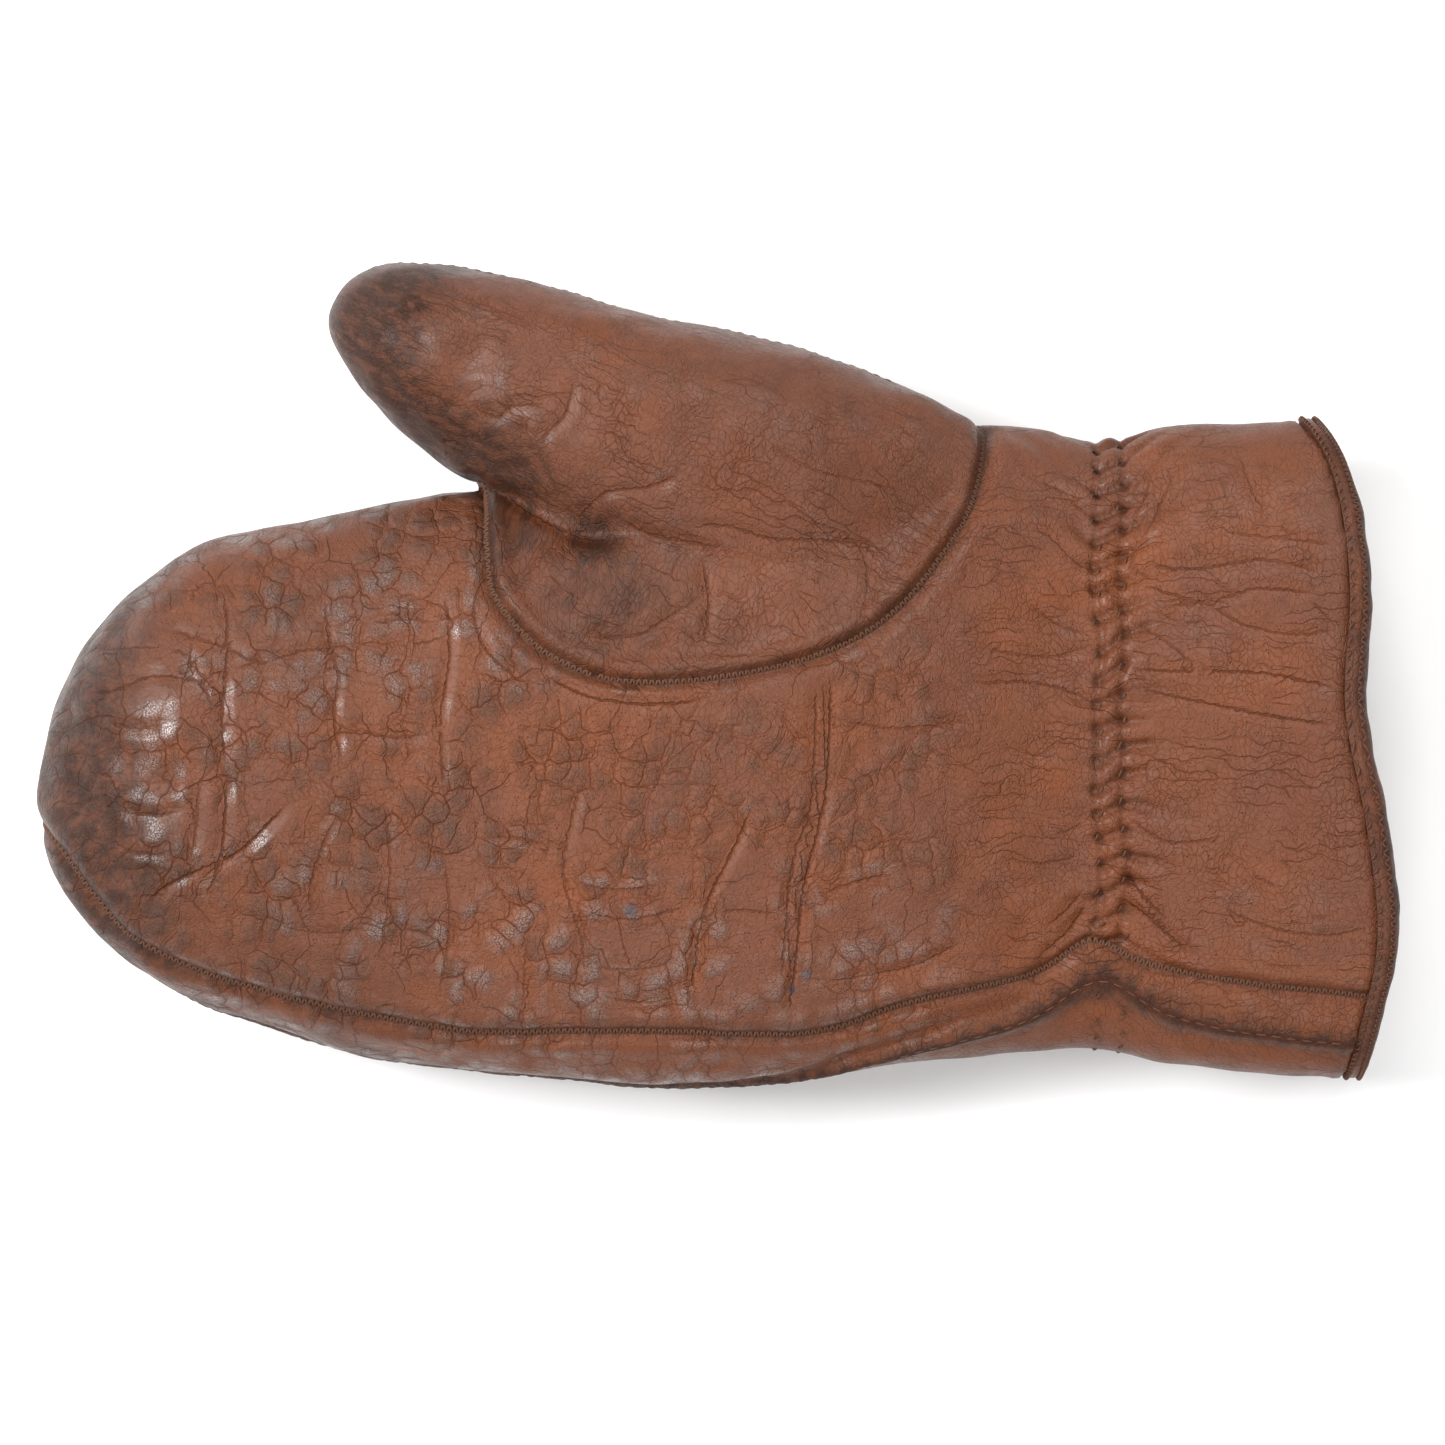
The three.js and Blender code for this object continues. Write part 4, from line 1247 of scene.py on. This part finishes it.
palm_hide = leather("palm_pigskin", "hide_over", inked=True)
back_hide = leather("back_pigskin", "hide_under")
thumb_hide = leather("thumb_pigskin", "hide_thumb", pebbles=0.35, wrinkles=0.95)
edge_hide = leather("binding_pigskin", "hide_edge", pebbles=0.3, edge=True)
print("leathers:", palm_hide.name, back_hide.name, thumb_hide.name, edge_hide.name)

# %% Thread, pile, elastic and card


def thread_finish():
    """Dark waxed thread, with the twist of its strands."""
    material, tree, shader = new_material("waxed_thread")
    strands = noise(tree, object_place(tree), 2600, 2, dimensions="3D").outputs["Fac"]
    colour = blend_colour(tree, strands, (0.040, 0.016, 0.008), (0.125, 0.052, 0.027))
    finish(tree, shader, colour, 0.6, strands, 0.5, 0.0002)
    shader.inputs["Specular IOR Level"].default_value = 0.25
    return material


def pile_finish():
    """Cream wool pile: curls with painted shade that makes them darker between their tufts."""
    material, tree, shader = new_material("wool_pile")
    place = object_place(tree)
    curls = node(tree, "ShaderNodeTexVoronoi", {"Vector": place, "Scale": 620.0}, feature="F1")
    hairs = noise(tree, place, 1900, 4, 0.7, "3D").outputs["Fac"]
    depth = maths(tree, "MULTIPLY_ADD", curls.outputs["Distance"], -0.8, hairs)
    colour = blend_colour(tree, fade(tree, depth, -0.35, 0.45), (0.42, 0.33, 0.22), (0.82, 0.73, 0.58))
    finish(tree, shader, colour, 0.95, depth, 0.9, 0.0009)
    shader.inputs["Sheen Weight"].default_value = 0.35
    return material


def elastic_finish():
    """White elastic tape with its lengthwise ribs, and painted shade between the ribs."""
    material, tree, shader = new_material("woven_elastic")
    inputs = {"Vector": object_place(tree), "Scale": 320.0, "Distortion": 0.4}
    ribs = node(tree, "ShaderNodeTexWave", inputs, bands_direction="X").outputs["Fac"]
    colour = blend_colour(tree, ribs, (0.55, 0.52, 0.46), (0.80, 0.78, 0.72))
    finish(tree, shader, colour, 0.9, ribs, 0.6, 0.0003)
    return material


def card_finish():
    """The white card that the mitten lies on."""
    material, tree, shader = new_material("white_card")
    fibres = noise(tree, object_place(tree), 40, 3, dimensions="3D").outputs["Fac"]
    finish(tree, shader, blend_colour(tree, fibres, (0.90, 0.90, 0.90), (0.94, 0.94, 0.94)), 0.9)
    shader.inputs["Specular IOR Level"].default_value = 0.1
    return material


waxed_thread = thread_finish()
wool_pile = pile_finish()
floor.data.materials.append(card_finish())
elastic_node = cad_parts["wrist_elastic"]
elastic_node.data.materials.clear()
elastic_node.data.materials.append(elastic_finish())
print("thread, pile, elastic and card are ready")

# %% [markdown]
# The skin is now cut into its four panels. Each panel keeps its own faces, its cut edges draw back
# from the seam by a hair, and Solidify gives it the thickness of the leather, inwards, so that the
# outside stays where it is. Under the binding the leather is pared thin, as a maker pares it.

# %% Cut the leather panels
SEAM_DRAW = 0.08
SHARP_EDGE = math.radians(60)
PARED = 0.4
PARED_BAND = HEM_WIDTH + 0.5


def stand_for(piece, node_name, bends=False):
    """Says what a piece moves with and which plain solid it stands for."""
    if bends:
        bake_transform(piece)
    else:
        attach(piece, "hand")
    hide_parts(node_name)


def draw_back_edges(piece):
    """Moves the points on the edge of a panel a little towards its middle."""
    mesh = bmesh.new()
    mesh.from_mesh(piece.data)
    moves = {}
    for vert in mesh.verts:
        if not vert.is_boundary:
            continue
        inner = [edge.other_vert(vert).co for edge in vert.link_edges if not edge.is_boundary]
        if inner:
            moves[vert] = vert.co.lerp(sum(inner, Vector()) / len(inner), SEAM_DRAW)
    for vert, place in moves.items():
        vert.co = place
    mesh.to_mesh(piece.data)
    mesh.free()


def thicken(piece, thickness, share):
    """Gives a sheet its thickness inwards, times share, one value for each point."""
    group = piece.vertex_groups.new(name="thickness")
    for value in np.unique(share.round(2)):
        group.add(np.flatnonzero(share.round(2) == value).tolist(), float(value), "REPLACE")
    only(piece)
    solid = piece.modifiers.new("thickness", "SOLIDIFY")
    solid.thickness = thickness * MILLIMETRE
    solid.offset = -1
    solid.vertex_group = group.name
    bpy.ops.object.modifier_apply(modifier=solid.name)
    piece.vertex_groups.clear()
    bpy.ops.object.shade_smooth_by_angle(angle=math.radians(70))


def cut_panel(name, source, wanted, material):
    """A copy of source with only its wanted faces."""
    only(source)
    bpy.ops.object.duplicate()
    panel = bpy.context.object
    panel.name = panel.data.name = name
    delete_faces(panel, ~wanted)
    draw_back_edges(panel)
    panel.data.materials.clear()
    panel.data.materials.append(material)
    return panel


def leather_panel(name, node_name, wanted, material, bends=False):
    """Cuts one panel, gives it its thickness, and says what size it was cut to."""
    panel = cut_panel(name, skin, wanted, material)
    share = np.where(hem_side(points_of(panel)) < PARED_BAND, PARED, 1.0)
    thicken(panel, LEATHER, share)
    stand_for(panel, node_name, bends)
    triangles = sum(len(face.vertices) - 2 for face in panel.data.polygons)
    surface = sum(face.area for face in panel.data.polygons) / 2
    print(name, "has", triangles, "triangles and covers", round(surface * 1e4), "square cm")


leather_panel("palm_panel", "palm_leather", in_palm_panel, palm_hide)
leather_panel("back_panel", "back_leather", in_back_panel, back_hide)
leather_panel("side_strip_panel", "side_strip_leather", in_strip_panel, palm_hide)
leather_panel("thumb_panel", "thumb_leather", in_thumb_panel, thumb_hide, bends=True)

# %% [markdown]
# Four of the seams are sewn with a zigzag stitch, and the stitches have to lie exactly on them. The
# whole skin still knows which panel every face belongs to, so a seam is the chain of edges with one
# panel on each side. Each chain is walked from end to end and divided into even steps.

# %% Find the seam lines on the skin
PALM, STRIP, BACK, THUMB_PIECE = range(4)
SHORTEST_CHAIN = 30
panel_of = np.select([in_thumb_panel, in_back_panel, in_strip_panel], [THUMB_PIECE, BACK, STRIP], PALM)


def seam_chains(*pairs):
    """The points and normals, in order, of every chain of edges between two panels."""
    mesh = bmesh.new()
    mesh.from_mesh(skin.data)
    mesh.faces.ensure_lookup_table()
    links = {}
    for edge in mesh.edges:
        if len(edge.link_faces) != 2:
            continue
        sides = {int(panel_of[face.index]) for face in edge.link_faces}
        if len(sides) == 2 and any(sides == set(pair) for pair in pairs):
            a, b = (vert.index for vert in edge.verts)
            links.setdefault(a, []).append(b)
            links.setdefault(b, []).append(a)
    mesh.free()
    points, normals = points_of(skin), normals_of(skin)
    ends = [vert for vert in sorted(links) if len(links[vert]) == 1]
    seen, chains = set(), []
    for start in ends + sorted(links):
        if start in seen:
            continue
        chain, current = [start], start
        seen.add(start)
        while True:
            onward = [other for other in links[current] if other not in seen]
            if not onward:
                break
            current = onward[0]
            seen.add(current)
            chain.append(current)
        if len(chain) > SHORTEST_CHAIN:
            chains.append((points[chain], normals[chain]))
    return chains


def soften(values, rounds):
    """Takes the small jags out of a chain and keeps its two ends."""
    values = values.copy()
    for _ in range(rounds):
        values[1:-1] = 0.25 * values[:-2] + 0.5 * values[1:-1] + 0.25 * values[2:]
    return values


def even_steps(points, normals, step):
    """Points, normals and directions along a chain, step apart."""
    points, normals = soften(points, 12), soften(normals, 20)
    run = np.concatenate([[0], np.cumsum(np.linalg.norm(np.diff(points, axis=0), axis=1))])
    at = np.arange(step / 2, run[-1], step)
    places = np.stack([np.interp(at, run, points[:, k]) for k in range(3)], axis=1)
    ups = np.stack([np.interp(at, run, normals[:, k]) for k in range(3)], axis=1)
    ways = np.gradient(places, axis=0)
    return places, unit(ups), unit(ways)


def unit(vectors):
    return vectors / np.maximum(np.linalg.norm(vectors, axis=1), 1e-9)[:, None]


def outward(points):
    """The way out from the middle of the cuff's section."""
    return unit((points - SECTION_MIDDLE) * [0, 1, 1])


palm_chains = seam_chains((PALM, STRIP))
thumb_chains = seam_chains((PALM, THUMB_PIECE), (BACK, THUMB_PIECE), (STRIP, THUMB_PIECE))
ridge_chains = seam_chains((BACK, STRIP))
index_chains = seam_chains((BACK, PALM))
all_chains = (palm_chains, thumb_chains, ridge_chains, index_chains)
print("chains of palm, thumb, ridge and index:", *map(len, all_chains))

# %% [markdown]
# One stitch is an arched piece of thread whose two ends dive into the leather. It is modelled once,
# from a six-sided cylinder that is cut into short lengths and bent. An Array modifier makes as many
# copies as a seam has stitches, and each copy is then laid between its own two needle holes.

# %% Model one stitch, and sew
STITCH_SIDES = 6
STITCH_RADIUS = 0.23
STITCH_CUTS = (-0.36, -0.2, 0.0, 0.2, 0.36)
ZIGZAG_PITCH = 1.08
ZIGZAG_WIDTH = 1.75
FLAT_STITCH = {"radius": 0.15, "arch": 0.16, "sink": 0.14}


def stitch_template(name):
    """A six-sided thread of length 1 along x, cut across in a few places so that it can bend."""
    deselect()
    along_x = (0, math.pi / 2, 0)
    bpy.ops.mesh.primitive_cylinder_add(vertices=STITCH_SIDES, radius=1, depth=1, rotation=along_x)
    bpy.ops.object.transform_apply(location=False, rotation=True, scale=False)
    piece = bpy.context.object
    piece.name = name

    def cut_across():
        for x in STITCH_CUTS:
            bpy.ops.mesh.select_all(action="SELECT")
            bpy.ops.mesh.bisect(plane_co=(x, 0, 0), plane_no=(1, 0, 0))

    edit(piece, cut_across)
    return piece


def sew(name, starts, ends, ups, radius=STITCH_RADIUS, arch=0.34, sink=0.22):
    """Stitches from starts to ends, arched along ups, as one piece."""
    piece = stitch_template(name)
    template = get(piece.data.vertices, "co", 3)
    only(piece)
    copies = piece.modifiers.new("stitches", "ARRAY")
    copies.count = len(starts)
    bpy.ops.object.modifier_apply(modifier=copies.name)
    along = ends - starts
    sides = unit(np.cross(ups, along))
    upright = unit(np.cross(along, sides))
    share = template[:, 0][None, :, None]
    bow = arch * (1 - (2 * share) ** 2) - sink
    placed = (
        (starts + ends)[:, None, :] / 2 + along[:, None, :] * share
        + sides[:, None, :] * template[:, 1][None, :, None] * radius
        + upright[:, None, :] * (template[:, 2][None, :, None] * radius + bow)
    )
    placed[..., 2] = np.maximum(placed[..., 2], 0.01)
    move_points(piece, placed.reshape(-1, 3))
    piece.data.materials.append(waxed_thread)
    bpy.ops.object.shade_smooth_by_angle(angle=SHARP_EDGE)
    return piece


def finish_thread(piece, node_name, bends=False):
    stand_for(piece, node_name, bends)
    print(piece.name, "has", len(piece.data.polygons), "faces")


def zigzag(chains, pitch=ZIGZAG_PITCH, width=ZIGZAG_WIDTH):
    """Needle holes of a zigzag over chains: where each thread starts and ends, and the way up."""
    starts, ends, ups = [], [], []
    for points, normals in chains:
        places, up, way = even_steps(points, normals, pitch / 2)
        side = unit(np.cross(up, way))
        swing = np.where(np.arange(len(places)) % 2, 0.5, -0.5)[:, None] * width
        holes = places + side * swing
        starts.append(holes[:-1])
        ends.append(holes[1:])
        ups.append(up[:-1])
    return np.vstack(starts), np.vstack(ends), np.vstack(ups)


def running(chains, pitch, length):
    """Needle holes of a plain running stitch along chains."""
    starts, ends, ups = [], [], []
    for points, normals in chains:
        places, up, way = even_steps(points, normals, pitch)
        starts.append(places - way * length / 2)
        ends.append(places + way * length / 2)
        ups.append(up)
    return np.vstack(starts), np.vstack(ends), np.vstack(ups)


finish_thread(sew("palm_zigzag", *zigzag(palm_chains)), "palm_edge_stitching")
finish_thread(sew("thumb_zigzag", *zigzag(thumb_chains)), "thumb_set_stitching")
ridge_holes, index_holes = running(ridge_chains, 2.6, 1.7), running(index_chains, 2.6, 1.7)
finish_thread(sew("ridge_stitches", *ridge_holes, **FLAT_STITCH), "side_ridge_stitching")
finish_thread(sew("index_stitches", *index_holes, **FLAT_STITCH), "index_back_stitching")

# %% [markdown]
# The thumb's piece closes along its outer edge with a seam that only shows as a fine row of stitches.
# A ray cast from beside the thumb finds the skin at the height of the seam. The two shirring rows are
# short stitches at the bottom of each pit, at the same steps round the wrist as the pits themselves.

# %% The thumb's outer seam and the shirring rows
skin_faces = [list(face.vertices) for face in skin.data.polygons]
SKIN_TREE = BVHTree.FromPolygons(points_of(skin).tolist(), skin_faces)
FAR_OUT = 90.0
RING_STEPS = 1440


def cast(origins, ways):
    """Where rays from origins meet the skin, and the skin's normals there; misses are dropped."""
    places, ups = [], []
    for origin, way in zip(origins, ways):
        place, up, _, _ = SKIN_TREE.ray_cast(Vector(origin), Vector(way))
        if place is not None:
            places.append(tuple(place))
            ups.append(tuple(up))
    return np.array(places), np.array(ups)


own_x = np.linspace(3, 92, 180)
seam_height = THUMB["body"](np.clip(own_x, 26, 104))[3]
origins = onto_hand(np.stack([own_x, np.full(len(own_x), FAR_OUT), seam_height], axis=1))
inward = np.append(TURN @ [0, -1], 0)
outer_line = cast(origins, np.tile(inward, (len(origins), 1)))
outer_holes = running([outer_line], 2.2, 1.5)
finish_thread(sew("thumb_outer_stitches", *outer_holes, **FLAT_STITCH), "thumb_outer_stitching", bends=True)


def shirring_row(name, x, phase_shift, node_name):
    """Short stitches in the pits of one row, on the palm and the back but not on the strip."""
    angles = np.linspace(-math.pi, math.pi, RING_STEPS, endpoint=False)
    ring = skin_points(HAND, np.full(len(angles), x), angles)
    _, round_way = place_on_hide(ring, HAND, PALM_MIDDLE)
    count = (round_way + wander(ring)) / GATHER + phase_shift / (2 * math.pi)
    order = np.argsort(round_way)
    ring, count = ring[order], count[order]
    turns = range(math.ceil(count.min()), math.floor(count.max()) + 1)
    here = {int(np.argmin(np.abs(count - turn))) for turn in turns}
    pits = ring[sorted(here)]
    pits = pits[(thumb_side(pits) < 0) & ~((strip_side(pits) > -1) & (back_side(pits) < 0))]
    places = np.array([tuple(SKIN_TREE.find_nearest(Vector(pit))[0]) for pit in pits])
    ups = outward(pits)
    way = unit(np.cross(ups, np.tile([1.0, 0, 0], (len(ups), 1))))
    lean = way * 0.9 + np.array([0.4, 0, 0])
    finish_thread(sew(name, places - lean, places + lean, ups, radius=0.2, arch=0.4, sink=0.25), node_name)


shirring_row("shirring_stitches_hand", ROW_HAND, 0.0, "wrist_stitch_row_hand")
shirring_row("shirring_stitches_cuff", ROW_CUFF, ROW_SHIFT, "wrist_stitch_row_cuff")

# %% [markdown]
# The raw edge of the cuff is bound with a narrow strip of the same leather, folded over the edge like
# a U. It is a grid that is rolled twice: one side of it follows the hem, and the other goes round the
# U. Two rows of stitches hold it: slanted ones along its edge and a small zigzag near the fold.

# %% Binding of the hem
HEM_ROUND = 290.0
BINDING_STEPS = 900
BINDING_DEPTH = 5.0
FOLD = 2.2
U_PROFILE = (
    [(d, 0.0) for d in (3.98, 3.8, 3.55, 3.25, 2.9, 2.5)]
    + [(FOLD - FOLD * math.sin(t), -2.5 + 2.5 * math.cos(t)) for t in np.linspace(0, math.pi, 15)]
    + [(d, -BINDING_DEPTH) for d in (2.6, 3.2, 3.7, 3.95)]
    + [(d, BINDING - BINDING_DEPTH) for d in (3.95, 3.2, 2.5)]
    + [(FOLD - 1.3 * math.sin(t), -2.5 - 1.6 * math.cos(t)) for t in np.linspace(0, math.pi, 7)]
    + [(d, -BINDING) for d in (2.6, 3.3, 3.95)]
)


def on_hem(angles, depth, rise):
    """Points at depth in from the hem's fold and at rise over the skin."""
    x = np.full(len(angles), 110.0)
    for _ in range(4):
        x = hem_edge(skin_points(HAND, x, angles)[:, 1])[0] - depth
    points = skin_points(HAND, x, angles, -rise)
    points[:, 2] = lay_flat(points, np.maximum(-rise, 0) + 0.02)
    return points


def make_binding():
    deselect()
    bpy.ops.mesh.primitive_grid_add(x_subdivisions=BINDING_STEPS, y_subdivisions=len(U_PROFILE), size=1)
    piece = bpy.context.object
    piece.name = "hem_binding_strip"
    grid = get(piece.data.vertices, "co", 3) + 0.5
    step = np.round(grid[:, 0] * BINDING_STEPS).astype(int) % BINDING_STEPS
    section = np.round(grid[:, 1] * len(U_PROFILE)).astype(int) % len(U_PROFILE)
    angles = step / BINDING_STEPS * 2 * math.pi
    depth, rise = np.array(U_PROFILE)[section].T
    ring = on_hem(angles, 0.0, 0.0)
    uneven = 0.14 * waves(ring, 11, 41) + 0.07 * waves(ring, 3.5, 42)
    outside = rise > -0.5
    dent = 0.22 * bump(depth - 1.45, 0.35) * outside
    points = on_hem(angles, depth + uneven * (depth < 3), rise - dent + 0.05 * waves(ring, 5, 43) * outside)
    move_points(piece, points)
    around_hem = step / BINDING_STEPS * HEM_ROUND
    girth = np.cumsum([0] + [math.dist(a, b) for a, b in zip(U_PROFILE[:-1], U_PROFILE[1:])])[section]
    keep(piece, "hide_edge", np.stack([girth, around_hem, np.zeros(len(step))], axis=1))
    keep(piece, "dark", np.clip(0.42 + 0.40 * bump(depth, 1.0) + 0.2 * waves(ring, 25, 44), 0, 1))
    keep(piece, "warm", np.clip(0.25 + 0.25 * waves(ring, 18, 45), 0, 1))
    for name in ("cuff", "finger"):
        keep(piece, name, np.zeros(len(step)))
    edit(piece, lambda: bpy.ops.mesh.remove_doubles(threshold=MERGE),
         lambda: bpy.ops.mesh.normals_make_consistent(inside=False))
    piece.data.materials.append(edge_hide)
    bpy.ops.object.shade_smooth_by_angle(angle=SHARP_EDGE)
    stand_for(piece, "hem_binding")
    return piece


binding = make_binding()
print("binding has", len(binding.data.polygons), "faces")

# %% Rows of stitches on the binding


def hem_holes(count, shift, depth):
    angles = (np.arange(count) + shift) / count * 2 * math.pi
    return on_hem(angles, depth, 0.0)


def hem_row(name, count, first, second, node_name, radius, zigzagged=False):
    """Threads from one depth to another, round the whole hem, as slanted stitches or as a zigzag."""
    starts = hem_holes(count, 0.0, first)
    ends = hem_holes(count, 0.5, second)
    ups = outward(starts)
    if zigzagged:
        after = hem_holes(count, 1.0, first)
        starts, ends, ups = np.vstack([starts, ends]), np.vstack([ends, after]), np.vstack([ups, ups])
    finish_thread(sew(name, starts, ends, ups, radius=radius, arch=0.4, sink=0.12), node_name)


hem_row("hem_slanted_stitches", round(HEM_ROUND / 2.0), 3.15, 3.95, "hem_stitching_inner", 0.2)
hem_row("hem_zigzag", round(HEM_ROUND / 1.3), 0.95, 1.75, "hem_stitching_outer", 0.15, zigzagged=True)

# %% [markdown]
# Wool pile lines the whole mitten. Each lining is cut from a second, smaller skin inside the leather.
# Solidify makes it thick, thinner towards the binding that holds it, and its inner side is then
# raised in tufts, as pile that a hand has pressed into small curls.

# %% Linings
LINING_INSET = LEATHER + GAP
LINING_VOXEL = 0.0014
LINING_HEM = 4.6
LINING_SPLIT = 19.5
TUFT = 0.55


def cut_lining(name, node_name, source, wanted, bends=False):
    """Cuts one lining, gives it its thickness, and raises the tufts on its inner side."""
    piece = cut_panel(name, source, wanted, wool_pile)
    outer = len(piece.data.vertices)
    points = points_of(piece)
    end = smooth_step(hem_side(points), LINING_HEM - 1.2, LINING_HEM + 6)
    thicken(piece, LINING, LINING_TURN / LINING + (1 - LINING_TURN / LINING) * end)
    points, normals = points_of(piece), normals_of(piece)
    tufts = np.random.default_rng(len(name)).normal(size=len(points)) * 0.35 + waves(points, 3.4, 51) * 0.6
    inside = np.arange(len(points)) >= outer
    swelling = np.where(inside, tufts * TUFT, 0) * smooth_step(hem_side(points), 4.5, 8)
    move_points(piece, points + normals * swelling[:, None])
    stand_for(piece, node_name, bends)
    print(name, "has", len(piece.data.polygons), "faces")


inner_form = whole_form("lining", LINING_INSET, LINING_VOXEL, 3)
trim_at_hem(inner_form)
lining_centres = centres_of(inner_form)
lining_points = points_of(inner_form)
channel = 1.3 * bump(lining_points[:, 0] - WRIST_X, 6.5)
move_points(inner_form, lining_points - normals_of(inner_form) * channel[:, None])
in_thumb_lining = thumb_side(lining_centres) > -0.4
over_lining = ~in_thumb_lining & (lining_centres[:, 2] > LINING_SPLIT)
under_lining = ~in_thumb_lining & ~over_lining
cut_lining("palm_pile", "palm_lining", inner_form, over_lining)
cut_lining("back_pile", "back_lining", inner_form, under_lining)
cut_lining("thumb_pile", "thumb_lining", inner_form, in_thumb_lining, bends=True)

# %% Put the two whole forms away
for form in (skin, inner_form):
    bpy.data.objects.remove(form)

# %% [markdown]
# Last, the size of the CAD is written out.

# %% The CAD's size, and the end
print("CAD box:", [list(corner) for corner in cad_box])
